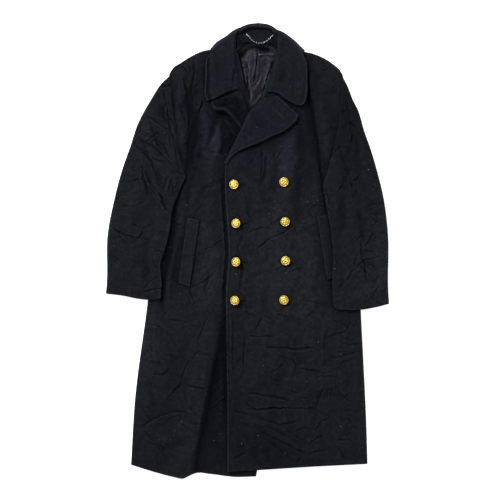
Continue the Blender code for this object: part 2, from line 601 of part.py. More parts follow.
def main():
    clear_scene()
    collar = collar_plans()
    fall = back_fall_layer(collar)

    back = panel(
        "back",
        {"foot": BACK_HEM, "top": BACK_TOP, "start": inside_seam(RIGHT_SIDE, INSET, BACK_HEM[0], BACK_TOP[0]),
         "end": inside_seam(LEFT_SIDE, -INSET, BACK_HEM[-1], BACK_TOP[-1])},
        (26, 14),
        lambda x, y, u, v: np.zeros_like(x),
        fall,
        reach=30.0,
    )

    lining = panel(
        "back_lining",
        {"foot": LINING_FOOT, "top": LINING_TOP, "start": LINING_RIGHT, "end": LINING_LEFT},
        (14, 10),
        lambda x, y, u, v: MELTON + 1.2 + 2.2 * np.sin(math.pi * u) + folds(x, y, LINING_FOLDS),
        [back],
        wall=SATIN,
        finish=LINING_CLOTH,
    )

    def right_front_design(x, y, u, v):
        level = MELTON + SEAM + 2.6 * ease(u / 0.25) * ease((1 - u) / 0.3) * ease((1 - v) / 0.12)
        return level + skirt_roll(x, y) + folds(x, y, RIGHT_FRONT_FOLDS) + 0.8 * ease(v / 0.06)

    right_front = panel(
        "right_front",
        {"foot": RIGHT_HEM, "top": RIGHT_SHOULDER[::-1], "start": RIGHT_SIDE, "end": RIGHT_FRONT_EDGE},
        (36, 17),
        right_front_design,
        fall + [back, lining],
        rolled={"start": everywhere, "top": beyond_collar},
        reach=12.0,
    )

    right_facing = panel(
        "right_facing",
        {"foot": RIGHT_LAPEL_FOOT[::-1], "top": RIGHT_LAPEL_TOP[::-1], "start": RIGHT_LAPEL_EDGE,
         "end": RIGHT_LAPEL_ROLL},
        (9, 8),
        lambda x, y, u, v: 9.0 + LAPEL_LOFT * ease(v / 0.4) * (1.4 - u) + folds(x, y, LAPEL_FOLDS),
        [back, lining, right_front],
        wall=COLLAR_WALL,
    )

    def left_front_design(x, y, u, v):
        level = MELTON + SEAM + 2.6 * ease((1 - u) / 0.25) * ease((1 - v) / 0.12)
        return level + folds(x, y, LEFT_FRONT_FOLDS) + 0.8 * ease(v / 0.06)

    left_front = panel(
        "left_front",
        {"foot": LEFT_HEM, "top": LEFT_SHOULDER, "start": LEFT_FRONT_EDGE, "end": LEFT_SIDE},
        (36, 17),
        left_front_design,
        fall + [back, lining, right_front, right_facing],
        wall=lambda x, y, u, v: MELTON + (FACED - MELTON) * ease(1 - u / 0.16) * ease((0.72 - v) / 0.08),
        rolled={"end": everywhere, "top": beyond_collar},
        reach=15.0,
    )
    body = [back, lining, right_front, left_front]

    left_facing = panel(
        "left_facing",
        {"foot": [LEFT_LAPEL_ROLL[0], LEFT_LAPEL_EDGE[0]], "top": LEFT_LAPEL_TOP, "start": LEFT_LAPEL_ROLL,
         "end": LEFT_LAPEL_EDGE},
        (12, 9),
        lambda x, y, u, v: 9.0 + LAPEL_LOFT * ease(v / 0.25) * (0.4 + u),
        body + [right_facing],
        wall=COLLAR_WALL,
        reach=14.0,
    )

    stand = panel(
        "collar_stand",
        {"foot": STAND_FOOT, "top": STAND_TOP, "start": [STAND_FOOT[0], STAND_TOP[0]],
         "end": [STAND_FOOT[-1], STAND_TOP[-1]]},
        (4, 10),
        lambda x, y, u, v: (NECK_LEVEL + NECK_ROLL + COLLAR_WALL / 2) * ease(0.35 + 0.65 * v) * ease(v / 0.1),
        fall + body,
        reach=4.0,
    )

    collar_layer = add_collar(collar, body + [left_facing, right_facing, stand])

    right_welt = add_welt("right_pocket_welt", RIGHT_WELT["outer"], RIGHT_WELT["inner"], [right_front])
    left_welt = add_welt("left_pocket_welt", LEFT_WELT["inner"], LEFT_WELT["outer"], [left_front])

    for side, cap, outer, inner, cuff, rows in (
        ("right", RIGHT_CAP, RIGHT_SLEEVE_OUTER, RIGHT_SLEEVE_INNER, RIGHT_CUFF, RIGHT_SLEEVE_FOLDS),
        ("left", LEFT_CAP, LEFT_SLEEVE_OUTER, LEFT_SLEEVE_INNER, LEFT_CUFF, LEFT_SLEEVE_FOLDS),
    ):
        add_sleeve(side, cap, outer, inner, cuff, rows, body + [right_welt, left_welt])

    for column, xs, ys in zip(BUTTONS["column"], BUTTONS["x"], BUTTONS["y"]):
        for row, (x, y) in enumerate(zip(xs, ys), 1):
            spot = np.array([float(x)]), np.array([float(y)])
            level = height_below(*spot, [left_front], np.array([2.6]))[0]
            add_button(f"button_{column}_{row}", x, y, level + SEAM)

    add_chain([back, lining, stand, collar_layer])


main()
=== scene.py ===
# %% [markdown]
# # A double-breasted overcoat, laid flat on its back
# The coat is heavy navy wool with a satin lining, gilt buttons and a small steel chain to hang it by. The
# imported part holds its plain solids. This file dresses them: each panel becomes a thin wall of cloth with
# its own creases, rounded edges and folds, and the panels are laid on each other in the order in which
# the coat was put together. Left and right are the wearer's. X runs across the coat, Y from the hem to
# the collar, Z up from the table.

# %% Load the frame
import math

import bpy
import numpy as np
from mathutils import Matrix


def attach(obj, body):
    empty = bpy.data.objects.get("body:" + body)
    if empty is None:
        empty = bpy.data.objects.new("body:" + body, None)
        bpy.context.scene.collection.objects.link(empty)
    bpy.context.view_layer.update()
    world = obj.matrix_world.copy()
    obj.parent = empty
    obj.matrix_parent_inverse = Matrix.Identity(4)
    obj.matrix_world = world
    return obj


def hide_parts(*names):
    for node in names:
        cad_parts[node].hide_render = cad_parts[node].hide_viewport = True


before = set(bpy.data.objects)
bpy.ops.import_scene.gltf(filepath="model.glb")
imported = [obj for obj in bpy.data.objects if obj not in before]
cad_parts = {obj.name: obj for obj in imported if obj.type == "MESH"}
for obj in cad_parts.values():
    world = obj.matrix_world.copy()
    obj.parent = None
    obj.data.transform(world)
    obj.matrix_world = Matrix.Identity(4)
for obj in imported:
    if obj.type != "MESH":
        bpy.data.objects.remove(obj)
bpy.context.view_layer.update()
MM = 0.001  # the sizes below are millimetres, and meshes are metres

# %% [markdown]
# ## Colours and nodes
# Colours are written as sRGB hex values, as a paint chart gives them, but shaders work in linear light,
# so one function turns them over. A second one adds a shader node with its settings and links, and the
# rest of them are short names for the nodes that every finish here uses.

# %% Colour and node helpers


def linear(code):
    """Linear RGBA of an sRGB hex code: below 0.04045 a straight line, above it a power of 2.4."""
    srgb = np.array([int(code[k:k + 2], 16) for k in (1, 3, 5)]) / 255
    rgb = np.where(srgb <= 0.04045, srgb / 12.92, ((srgb + 0.055) / 1.055) ** 2.4)
    return (*rgb.tolist(), 1.0)


def node(material, kind, inputs=None, **settings):
    """Adds a node with these properties, and gives each socket in inputs a value or a link."""
    made = material.node_tree.nodes.new(kind)
    for name, value in settings.items():
        setattr(made, name, value)
    for socket, value in (inputs or {}).items():
        if isinstance(value, bpy.types.NodeSocket):
            material.node_tree.links.new(value, made.inputs[socket])
        else:
            made.inputs[socket].default_value = value
    return made


def new_material(name):
    """A material with its Principled shader."""
    material = bpy.data.materials.new(name)
    material.use_nodes = True
    return material, material.node_tree.nodes["Principled BSDF"], material.node_tree.links


def place_on(material):
    """Place of each point in metres, on the coat."""
    return node(material, "ShaderNodeTexCoord").outputs["Object"]


def painted_light_of(material):
    """Painted light and wear: high on raised parts, a painted highlight that is partly wear, low in hollows
    as painted shade.
    """
    return node(material, "ShaderNodeAttribute", attribute_name="painted_light_and_wear").outputs["Fac"]


def noise(material, place, size, detail=2.0):
    """Soft noise from 0 to 1 with patches about size millimetres wide."""
    inputs = {"Vector": place, "Scale": 1000 / size, "Detail": detail}
    return node(material, "ShaderNodeTexNoise", inputs).outputs["Fac"]


def calculate(material, operation, *values):
    """The result of one step of arithmetic on numbers or outputs."""
    return node(material, "ShaderNodeMath", dict(enumerate(values)), operation=operation).outputs["Value"]


def mapped(material, value, start, end, low=0.0, high=1.0, **settings):
    """A value carried over from the range start to end to the range low to high."""
    inputs = {"Value": value, "From Min": start, "From Max": end, "To Min": low, "To Max": high}
    return node(material, "ShaderNodeMapRange", inputs, **settings).outputs["Result"]


def ramp(material, factor, *stops):
    """Colour for a factor, blended between stops that each give a position and an sRGB code."""
    made = node(material, "ShaderNodeValToRGB", {"Fac": factor})
    elements = made.color_ramp.elements
    for position, _ in stops[1:-1]:
        elements.new(position)
    for element, (position, code) in zip(elements, stops):
        element.position = position
        element.color = linear(code)
    return made.outputs["Color"]


def tinted(material, colour, tint):
    """A colour multiplied by a tint."""
    inputs = {"Factor": 1.0, "A": colour, "B": tint}
    made = node(material, "ShaderNodeMix", inputs, data_type="RGBA", blend_type="MULTIPLY")
    return made.outputs["Result"]


print("white is", linear("#ffffff")[:3])

# %% [markdown]
# ## Melton
# Melton is a wool cloth that is woven, then shrunk and brushed until a short felted nap hides the weave.
# It gives the eye a deep matt colour with soft cloudy patches, a faint pale bloom where the nap is seen
# edge on, and it holds specks of lint. The nap's hairs are far finer than a pixel, so the mottle is drawn
# a few millimetres wide. The colour is bluer round the chest and warmer further out. Its tone also carries
# painted shade in the hollows and a painted highlight on raised parts, which is partly wear.

# %% Melton material
NAP_SIZE = 2.6  # mm, drawn coarser than the real nap so that it shows
MOTTLE_SIZE = 9.0  # mm
DRIFT_SIZE = 45.0  # mm, the slow drift of the dye between a greener and a more violet navy
CHEST = (15.0, 345.0)  # mm, the middle of the part that is bluest
DEEP_WITHIN = 110.0  # mm from there the colour is bluest
WARMER_PAST = 300.0  # mm from there it is warmer
LINT_SPACING = 14.0  # mm between places where a speck may sit
LINT_RADIUS = 0.62  # mm
FELT_DEPTH = 1.2  # mm, drawn deeper than the real nap so that it shows
PAINTED_LIGHT_SHARE = 0.5  # share of the painted highlight and shade in the tone

melton, shader, links = new_material("navy wool melton")
place = place_on(melton)
mottles = {"Factor": 0.5, "A": noise(melton, place, MOTTLE_SIZE, 4.0), "B": noise(melton, place, NAP_SIZE)}
cloud = node(melton, "ShaderNodeMix", mottles).outputs["Result"]
# painted shade darkens the hollows, and a painted highlight that is partly wear lightens raised parts
shaded = calculate(melton, "MULTIPLY_ADD", painted_light_of(melton), PAINTED_LIGHT_SHARE, cloud)
tone = ramp(melton, shaded, (0.0, "#010206"), (0.5, "#16171c"), (1.0, "#2f3137"))
drift = noise(melton, place, DRIFT_SIZE, 3.0)
cast = ramp(melton, drift, (0.35, "#f4fffa"), (0.65, "#f7f1ff"))
chest = (CHEST[0] * MM, CHEST[1] * MM, 0.0)
from_chest = node(melton, "ShaderNodeVectorMath", {0: place, 1: chest}, operation="DISTANCE")
chest_nearness = mapped(melton, from_chest.outputs["Value"], WARMER_PAST * MM, DEEP_WITHIN * MM,
                  interpolation_type="SMOOTHSTEP")
# a cast that is bluer near the chest and warmer further out
fade = ramp(melton, chest_nearness, (0.0, "#fdfff7"), (1.0, "#eef1ff"))
shaded_colour = tinted(melton, tinted(melton, tone, cast), fade)
print("melton nap drawn at", NAP_SIZE, "mm")

# %% Lint and felt of the melton
speck = node(melton, "ShaderNodeTexVoronoi", {"Vector": place, "Scale": 1000 / LINT_SPACING})
near = calculate(melton, "LESS_THAN", speck.outputs["Distance"], LINT_RADIUS / LINT_SPACING)
chance = node(melton, "ShaderNodeSeparateColor", {"Color": speck.outputs["Color"]})
lint = calculate(melton, "MULTIPLY", near, mapped(melton, chance.outputs["Red"], 0.6, 1.0))
linty = {"Factor": lint, "A": shaded_colour, "B": linear("#a3a6ad")}
coloured = node(melton, "ShaderNodeMix", linty, data_type="RGBA")
felt = node(melton, "ShaderNodeBump", {"Height": cloud, "Strength": 0.55, "Distance": FELT_DEPTH * MM})
print("lint may sit every", LINT_SPACING, "mm")

# %% Melton shader settings
links.new(coloured.outputs["Result"], shader.inputs["Base Color"])
links.new(felt.outputs["Normal"], shader.inputs["Normal"])
shader.inputs["Roughness"].default_value = 0.92
shader.inputs["Specular IOR Level"].default_value = 0.12
shader.inputs["Sheen Weight"].default_value = 0.05
shader.inputs["Sheen Roughness"].default_value = 0.45
shader.inputs["Sheen Tint"].default_value = linear("#9aa0b4")
print("melton sheen", shader.inputs["Sheen Weight"].default_value)

# %% [markdown]
# ## Satin, gilt, steel and thread
# The lining is a satin: long floating threads make it smooth, so it carries soft bright streaks along its
# folds; its colour also carries a painted highlight on their ridges and painted shade in their troughs,
# where its reflection is dimmed as painted shade too. The buttons are brass, stamped and thinly gilded,
# so they are yellow, bright on the high parts and a little darker in the hollows, with a painted highlight
# on the rim's top and painted shade under the rim. The chain is nickelled steel. The front's buttonholes
# are worked in a navy silk twist that is about as dark as the cloth, and the lapel's buttonhole and the
# hem's stitches in a grey one. Each is a Principled shader with a fine pattern, because no real finish is
# quite even.

# %% Satin lining material
SATIN_RIB = 1.8  # mm, drawn coarser than the real threads so that it shows

satin, shader, links = new_material("slate satin lining")
along_threads = {"Vector": place_on(satin), "Scale": (1.0, 0.15, 1.0)}
stretched = node(satin, "ShaderNodeMapping", along_threads).outputs["Vector"]
painted_light_and_wear = painted_light_of(satin)
# a painted highlight on the ridges and painted shade in the troughs
worn_and_shaded = calculate(satin, "MULTIPLY_ADD", painted_light_and_wear, 0.8, noise(satin, stretched, SATIN_RIB))
tone = ramp(satin, worn_and_shaded, (0.0, "#050507"), (0.5, "#201f25"), (1.0, "#544f66"))
links.new(tone, shader.inputs["Base Color"])
# the reflection is dimmed in the troughs, as painted shade
links.new(mapped(satin, painted_light_and_wear, -0.5, 0.4, high=0.22), shader.inputs["Specular IOR Level"])
shader.inputs["Roughness"].default_value = 0.55
shader.inputs["Sheen Weight"].default_value = 0.08
shader.inputs["Sheen Tint"].default_value = linear("#c8c2d8")
print("satin rib drawn at", SATIN_RIB, "mm")

# %% Gilt brass material
TARNISH_SIZE = 3.0  # mm

gilt, shader, links = new_material("gilt brass")
tarnished = noise(gilt, place_on(gilt), TARNISH_SIZE, 3.0)
# the button's tarnish with its painted highlight and painted shade
worn_and_shaded = calculate(gilt, "MULTIPLY_ADD", painted_light_of(gilt), 0.5, tarnished)
tone = ramp(gilt, worn_and_shaded, (0.05, "#2a1d06"), (0.45, "#f0d062"), (0.8, "#f8e29a"))
links.new(tone, shader.inputs["Base Color"])
links.new(mapped(gilt, tarnished, 0.0, 1.0, 0.48, 0.64), shader.inputs["Roughness"])
shader.inputs["Metallic"].default_value = 1.0
print("gilt tarnish patches", TARNISH_SIZE, "mm")

# %% Steel and thread materials
SCRATCH_SIZE = 0.8  # mm
TWIST_SIZE = 0.9  # mm
WAVE_PERIOD = 300.0  # mm, that of a wave texture at scale 1

steel, shader, links = new_material("nickelled steel")
scratch = noise(steel, place_on(steel), SCRATCH_SIZE)
links.new(mapped(steel, scratch, 0.0, 1.0, 0.34, 0.55), shader.inputs["Roughness"])
shader.inputs["Base Color"].default_value = linear("#c0c2c5")
shader.inputs["Metallic"].default_value = 1.0


def twist_material(name, dark, pale):
    """Silk twist: two tones in fine slanting bands, with a soft sheen."""
    material, shader, links = new_material(name)
    bands = {"Vector": place_on(material), "Scale": WAVE_PERIOD / TWIST_SIZE, "Distortion": 2.0}
    band = node(material, "ShaderNodeTexWave", bands, bands_direction="DIAGONAL")
    tone = ramp(material, band.outputs["Fac"], (0.0, dark), (1.0, pale))
    links.new(tone, shader.inputs["Base Color"])
    shader.inputs["Roughness"].default_value = 0.7
    shader.inputs["Specular IOR Level"].default_value = 0.1
    return material


navy_twist = twist_material("navy silk twist", "#0b0c0f", "#141519")
grey_twist = twist_material("grey silk twist", "#1c1d21", "#34363d")
print("materials:", ", ".join(made.name for made in (melton, satin, gilt, steel, navy_twist, grey_twist)))

# %% [markdown]
# ## A map of heights
# A pile of cloth is easiest to lay out on a map: a raster of squares 2 mm wide over the whole coat, which
# holds the height of what has been laid so far. A new panel reads the map below it, bends softly over
# what is there, and then raises the map to its own upper side. Cloth simulation could do it, but a map
# keeps every crease where it was put.

# %% The raster and its blur
CELL = 2.0  # mm
x_line = np.arange(-380.0, 380.1, CELL)
y_line = np.arange(-600.0, 604.1, CELL)
X, Y = np.meshgrid(x_line, y_line)
pile = np.zeros_like(X)


def ease(t):
    """Smooth step from 0 to 1 while t goes from 0 to 1: three times t squared less twice t cubed."""
    t = np.clip(t, 0.0, 1.0)
    return t * t * (3.0 - 2.0 * t)


def bell(x, middle, reach):
    """Bell curve: e to the power of minus the square of the distance from the middle over the reach."""
    return np.exp(-(((x - middle) / reach) ** 2))


def blur(field, across, along=None):
    """Gaussian blur: the field's spectrum multiplied by a Gaussian of the given reach in millimetres."""
    along = across if along is None else along
    edge = int(3 * max(across, along) / CELL) + 1
    wide = np.pad(field, edge, mode="edge")
    fy = np.fft.fftfreq(wide.shape[0], CELL)[:, None]
    fx = np.fft.rfftfreq(wide.shape[1], CELL)[None, :]
    gain = np.exp(-2 * math.pi**2 * ((fx * across) ** 2 + (fy * along) ** 2))
    return np.fft.irfft2(np.fft.rfft2(wide) * gain, s=wide.shape)[edge:-edge, edge:-edge]


def inside(outline):
    """True at each raster point with an odd number of the outline's sides to its left."""
    x1, y1 = outline.T
    x2, y2 = np.roll(outline, -1, axis=0).T
    row = y_line[:, None]
    crossed = (y1 <= row) != (y2 <= row)
    at = x1 + (row - y1) * (x2 - x1) / np.where(y1 == y2, 1.0, y2 - y1)
    column = np.clip(np.ceil((at - x_line[0]) / CELL), 0, len(x_line)).astype(int)
    rows, sides = np.nonzero(crossed)
    count = np.zeros((len(y_line), len(x_line) + 1), int)
    np.add.at(count, (rows, column[rows, sides]), 1)
    return np.cumsum(count, axis=1)[:, :-1] % 2 == 1


def read(field, plan):
    """The field's value at each (x, y) of a plan, weighted between the four nearest raster points."""
    gx = np.clip((plan[..., 0] - x_line[0]) / CELL, 0, len(x_line) - 1.001)
    gy = np.clip((plan[..., 1] - y_line[0]) / CELL, 0, len(y_line) - 1.001)
    i, j = gx.astype(int), gy.astype(int)
    fx, fy = gx - i, gy - j
    low = field[j, i] * (1 - fx) + field[j, i + 1] * fx
    high = field[j + 1, i] * (1 - fx) + field[j + 1, i + 1] * fx
    return low * (1 - fy) + high * fy


print("raster", X.shape)

# %% [markdown]
# ## Seam lines and grids
# A tailor's pattern gives a panel by its four seams. A smooth curve runs through a few points of each
# seam, and a Coons patch fills the space between the four curves with a grid. The grid is closer along
# the edges, where the cloth turns over, than in the middle.

# %% Curves and patches
EDGE_STEPS = np.array([0.0, 0.4, 1.0, 1.8, 2.8, 4.2, 6.2])  # mm in from an edge


def through(points, places):
    """A smooth curve through the points, read at shares of its length: cubics with matching slopes."""
    points = np.array(points, float)
    if len(points) == 2:
        return points[0] + np.multiply.outer(places, points[1] - points[0])
    knots = np.concatenate([[0.0], np.cumsum(np.linalg.norm(np.diff(points, axis=0), axis=1))])
    slopes = np.gradient(points, knots, axis=0)
    where = np.asarray(places) * knots[-1]
    k = np.clip(np.searchsorted(knots, where, side="right") - 1, 0, len(points) - 2)
    span = (knots[k + 1] - knots[k])[:, None]
    t = ((where - knots[k]) / span[:, 0])[:, None]
    return (
        points[k] * (1 + 2 * t) * (1 - t) ** 2
        + points[k + 1] * t**2 * (3 - 2 * t)
        + span * t * (1 - t) * (slopes[k] * (1 - t) - slopes[k + 1] * t)
    )


def shares(size, step):
    """Shares of a length from 0 to 1: EDGE_STEPS at both ends and even steps between them."""
    inner = size - 2 * EDGE_STEPS[-1]
    count = 3 * max(int(math.ceil(inner / step / 3)), 1)
    middle = EDGE_STEPS[-1] + inner * np.arange(1, count) / count
    return np.concatenate([EDGE_STEPS, middle, size - EDGE_STEPS[::-1]]) / size


def patch(edges, u, v):
    """Coons patch: the two blends between opposite seams, added, less the blend of the four corners."""
    foot, top = through(edges["foot"], u), through(edges["top"], u)
    start, end = through(edges["start"], v), through(edges["end"], v)
    u, v = u[None, :, None], v[:, None, None]
    corners = (1 - u) * (1 - v) * foot[0] + u * (1 - v) * foot[-1] + (1 - u) * v * top[0] + u * v * top[-1]
    return (1 - v) * foot[None] + v * top[None] + (1 - u) * start[:, None] + u * end[:, None] - corners


def edge_distances(plan):
    """Distance in millimetres of each grid point from the four edges, along the grid's own lines."""
    across = np.cumsum(np.linalg.norm(np.diff(plan, axis=1), axis=2), axis=1)
    across = np.concatenate([np.zeros((len(plan), 1)), across], axis=1)
    along = np.cumsum(np.linalg.norm(np.diff(plan, axis=0), axis=2), axis=0)
    along = np.concatenate([np.zeros((1, plan.shape[1])), along])
    return {"start": across, "end": across[:, -1:] - across, "foot": along, "top": along[-1:] - along}


def rim(rows, columns):
    """The indices round the edge of a grid, in turn."""
    k = np.arange(rows * columns).reshape(rows, columns)
    return np.concatenate([k[0, :-1], k[:-1, -1], k[-1, :0:-1], k[:0:-1, 0]])


print("edge steps", EDGE_STEPS.tolist())

# %% [markdown]
# ## Creases and soft waves
# Wool that has been packed keeps a net of creases. Each one is a line on the cloth with a width and a
# depth: a soft trough with a low bank on both sides, one bank higher than the other, fading out at both
# ends. A negative depth gives a ridge. The main ones are listed, and short minor ones are scattered
# between them with a fixed seed. The cloth between them is never flat either, so a seeded noise adds slow
# waves along the threads and small facets.

# %% Crease and wave functions
BANK = 0.3  # height of a crease's banks as a share of its depth
FINE_CREASE, FINE_SHARE = 6.0, 0.56  # a sharp crease is drawn narrower than its table gives
WAVER, WAVER_STEP = 1.1, 4.0  # mm that a crease strays to the side, and mm from one stray to the next
FADING = 0.2  # share of a crease's length over which it fades out at each end
FULL_HOLLOW = 3.0  # mm, the depth of a crease whose trough gets full painted shade
MOST_HOLLOW = 1.5  # the most painted shade, in full hollows
DEEP_CREASE = 4.5  # mm, the depth past which a broad crease gets as much painted shade as a sharp one
BROAD_SHADE = 0.3  # share of the shade that another broad crease gets
MINOR_WAYS = (0.05, 0.95, 2.2)  # radians, the ways in which most minor creases run
MINOR_STEP, MINOR_WIDTH, MINOR_DEPTH = (7, 24), (2.6, 4.4), (0.6, 1.8)  # mm, least and most
FACET_MEAN = 1.75  # mean height of the two noises of the facets


def bent_line(path, seed):
    """Straight runs between a crease's points, with a small seeded waver every few millimetres."""
    path = np.array(path, float)
    knots = np.concatenate([[0.0], np.cumsum(np.linalg.norm(np.diff(path, axis=0), axis=1))])
    at = np.linspace(0, knots[-1], max(int(knots[-1] / WAVER_STEP), 8))
    line = np.stack([np.interp(at, knots, path[:, k]) for k in (0, 1)], 1)
    waver = np.convolve(np.random.default_rng(seed).standard_normal(len(at)), (0.3, 0.4, 0.3), "same")
    way = np.gradient(line, axis=0)
    way /= np.linalg.norm(way, axis=1)[:, None]
    return line + WAVER * waver[:, None] * np.stack([-way[:, 1], way[:, 0]], 1)


def crease_relief(rows, plan):
    """Height that a table of creases adds at a plan's points, a bell across each line less a wider bell
    beside it, and the painted shade that each point gets from lying down in a crease."""
    relief, hollow_shade = np.zeros(plan.shape[:2]), np.zeros(plan.shape[:2])
    for number, (path, width, depth) in enumerate(rows):
        line = bent_line(path, number)
        if width < FINE_CREASE:
            width = width * FINE_SHARE
        reach = 5 * width
        close = np.all((plan > line.min(axis=0) - reach) & (plan < line.max(axis=0) + reach), axis=2)
        point = plan[close][:, None, :]
        run = np.diff(line, axis=0)
        t = np.clip(((point - line[:-1]) * run).sum(-1) / (run**2).sum(-1), 0, 1)
        gap = point - line[:-1] - t[..., None] * run
        away = np.sqrt((gap**2).sum(-1))
        nearest = away.argmin(-1)[:, None]
        distance = np.take_along_axis(away, nearest, -1)[:, 0]
        turn = run[:, 0] * gap[..., 1] - run[:, 1] * gap[..., 0]
        side = np.sign(np.take_along_axis(turn, nearest, -1)[:, 0])
        s = (nearest + np.take_along_axis(t, nearest, -1))[:, 0] / len(run)
        fade = ease(np.minimum(s, 1 - s) / FADING) * (1 + 0.3 * np.sin(9.0 * s + 2.1 * number))
        wide = width * (1 + 0.25 * np.sin(7.0 * s + 1.3 * number))
        bank = BANK * (1 + 0.7 * side * math.sin(3.7 * number))
        trough = bell(distance, 0.0, wide)
        relief[close] -= depth * fade * (trough - bank * bell(distance, 2.1 * wide, 1.2 * wide))
        # the trough gets painted shade
        dark = width < FINE_CREASE or depth > DEEP_CREASE
        shade = np.clip(depth / FULL_HOLLOW, 0, MOST_HOLLOW) * (1.0 if dark else BROAD_SHADE)
        hollow_shade[close] = np.maximum(hollow_shade[close], shade * fade * trough**1.6)
    return relief, hollow_shade


def minor_creases(plan, count, seed):
    """Short fine creases at seeded spots of a panel, each of three short steps that turn a little."""
    chance = np.random.default_rng(seed)
    spots = plan.reshape(-1, 2)[chance.integers(0, plan.shape[0] * plan.shape[1], count)]
    ways = chance.choice(MINOR_WAYS, count)[:, None]
    turns = ways + np.cumsum(chance.normal(0, 0.3, (count, 3)), axis=1)
    sizes = chance.uniform(*MINOR_STEP, (count, 3))[..., None]
    steps = sizes * np.stack([np.cos(turns), np.sin(turns)], -1)
    paths = np.cumsum(np.concatenate([spots[:, None], steps], axis=1), axis=1)
    return list(zip(paths, chance.uniform(*MINOR_WIDTH, count), chance.uniform(*MINOR_DEPTH, count)))


def waves(across, along, seed):
    """Smooth noise of unit spread: seeded random heights, blurred by the two reaches."""
    heights = blur(np.random.default_rng(seed).standard_normal(X.shape), across, along)
    return heights / heights.std()


def facets(seed):
    """Flat-sided wrinkles: smooth noise without its sign, which folds sharply wherever it passes zero."""
    return 1.5 * np.abs(waves(15.0, 20.0, seed)) + 0.7 * np.abs(waves(8.0, 7.0, seed + 1)) - FACET_MEAN


print("waves spread", waves(6.0, 18.0, 1).std().round(3))

# %% [markdown]
# ## Laying a panel
# A panel's underside follows the map below it, evened out by the cloth's own stiffness and raised by its
# loft. Then the creases and waves are added, and it is kept clear of what it lies on. A free edge is
# rounded like a bull nose, a folded edge comes down to what lies beside it, as cloth does where it turns
# under, and a sewn edge is drawn down to what it is sewn to.

# %% Settling and finishing edges
GAP = 0.35  # mm between two layers
MELTON_WALL = 2.4  # mm
NOSE_SHARE = 0.47  # of the wall, taken off each side at a rounded edge
FOLD_EDGE, FOLD_GAP = 0.9, 0.15  # mm that the two sides of a folded edge stay above what it comes down to
LEAST_WALL = 0.4  # mm
laid = []  # each piece with its upper side and the painted shade of its hollows


def settled(rise, mask, stiffness):
    """Height of an underside: the blurred map plus the rise, lifted clear of the map and blurred again."""
    share = np.maximum(blur(mask.astype(float), stiffness), 1e-3)
    z = np.maximum(blur(np.where(mask, pile, 0.0), stiffness) / share + rise, pile + GAP)
    for _ in range(4):
        z = np.where(mask, np.maximum(blur(np.where(mask, z, 0.0), stiffness) / share, pile + GAP), z)
    return z


def bull_nosed(lower, upper, distance, radius):
    """Both sides drawn together towards the middle of the wall by a quarter circle within the radius."""
    t = np.clip(distance / radius, 0, 1)
    fall = (1 - np.sqrt(1 - (1 - t) ** 2)) * NOSE_SHARE * (upper - lower)
    return lower + fall, upper - fall


def turned_under(lower, upper, distance, radius, level):
    """The wall brought down to a level at its edge along a quarter ellipse within the radius."""
    stay = np.sqrt(1 - (1 - np.clip(distance / radius, 0, 1)) ** 2)
    turned = level + FOLD_EDGE + (upper - level - FOLD_EDGE) * stay
    under = np.maximum(np.minimum(lower, level + FOLD_GAP), lower - (upper - turned))
    return np.minimum(under, turned - LEAST_WALL), turned


def finer(grid, times):
    """The grid with each cell split into times parts both ways, by straight interpolation."""
    for axis in (0, 1):
        grid = np.swapaxes(grid, 0, axis)
        at = np.arange((len(grid) - 1) * times + 1) / times
        k = np.minimum(at.astype(int), len(grid) - 2)
        t = (at - k)[:, None, None]
        grid = np.swapaxes(grid[k] * (1 - t) + grid[k + 1] * t, 0, axis)
    return grid


def heap_up(upper, times):
    """Raises the map to a surface: each raster point takes the surface's highest point that falls on it."""
    fine = finer(upper, times)
    i = np.rint((fine[..., 0] - x_line[0]) / CELL).astype(int)
    j = np.rint((fine[..., 1] - y_line[0]) / CELL).astype(int)
    np.maximum.at(pile, (j, i), fine[..., 2])


print("layers lie", GAP, "mm apart")

# %% Meshes and hiding the solids


def add_mesh(name, points, faces, material):
    """A smooth mesh object of these points, in millimetres, that rides on the coat's one body."""
    mesh = bpy.data.meshes.new(name)
    mesh.from_pydata((np.asarray(points) * MM).tolist(), [], faces)
    mesh.materials.append(material)
    mesh.shade_smooth()
    piece = bpy.data.objects.new(name, mesh)
    bpy.context.scene.collection.objects.link(piece)
    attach(piece, "root")
    return piece


def grid_faces(rows, columns):
    """A quad for each cell of a grid of points, turned up."""
    k = np.arange(rows * columns).reshape(rows, columns)
    return np.stack([k[:-1, :-1], k[:-1, 1:], k[1:, 1:], k[1:, :-1]], -1).reshape(-1, 4)


def add_wall(name, lower, upper, material, coarse=1):
    """A closed wall: the upper grid, the lower grid with only each coarse-th line and turned over, and a
    strip of triangles round the rim between the two."""
    lower = lower[::coarse, ::coarse]
    count = lower.shape[0] * lower.shape[1]
    below = grid_faces(*lower.shape[:2])[:, ::-1]
    above = grid_faces(*upper.shape[:2]) + count
    low, high = rim(*lower.shape[:2]), rim(*upper.shape[:2]) + count
    e, j = np.arange(len(high)), np.arange(len(low))
    to_low = low[(e + coarse // 2) // coarse % len(low)]
    strip = np.concatenate([
        np.stack([to_low, np.roll(high, -1), high], 1),
        np.stack([low, np.roll(low, -1), high[(coarse * (j + 1) - coarse // 2) % len(high)]], 1),
    ])
    points = np.concatenate([lower.reshape(-1, 3), upper.reshape(-1, 3)])
    return add_mesh(name, points, below.tolist() + above.tolist() + strip.tolist(), material)


def write_painted_light(piece, values):
    """Stores a tone for each vertex, painted highlight and shade with some wear, which the materials read.
    """
    attribute = piece.data.attributes.new("painted_light_and_wear", "FLOAT", "POINT")
    attribute.data.foreach_set("value", np.asarray(values, np.float32).ravel())


def stand_for(node_name):
    """Hides the solid that the cloth stands for."""
    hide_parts(node_name)


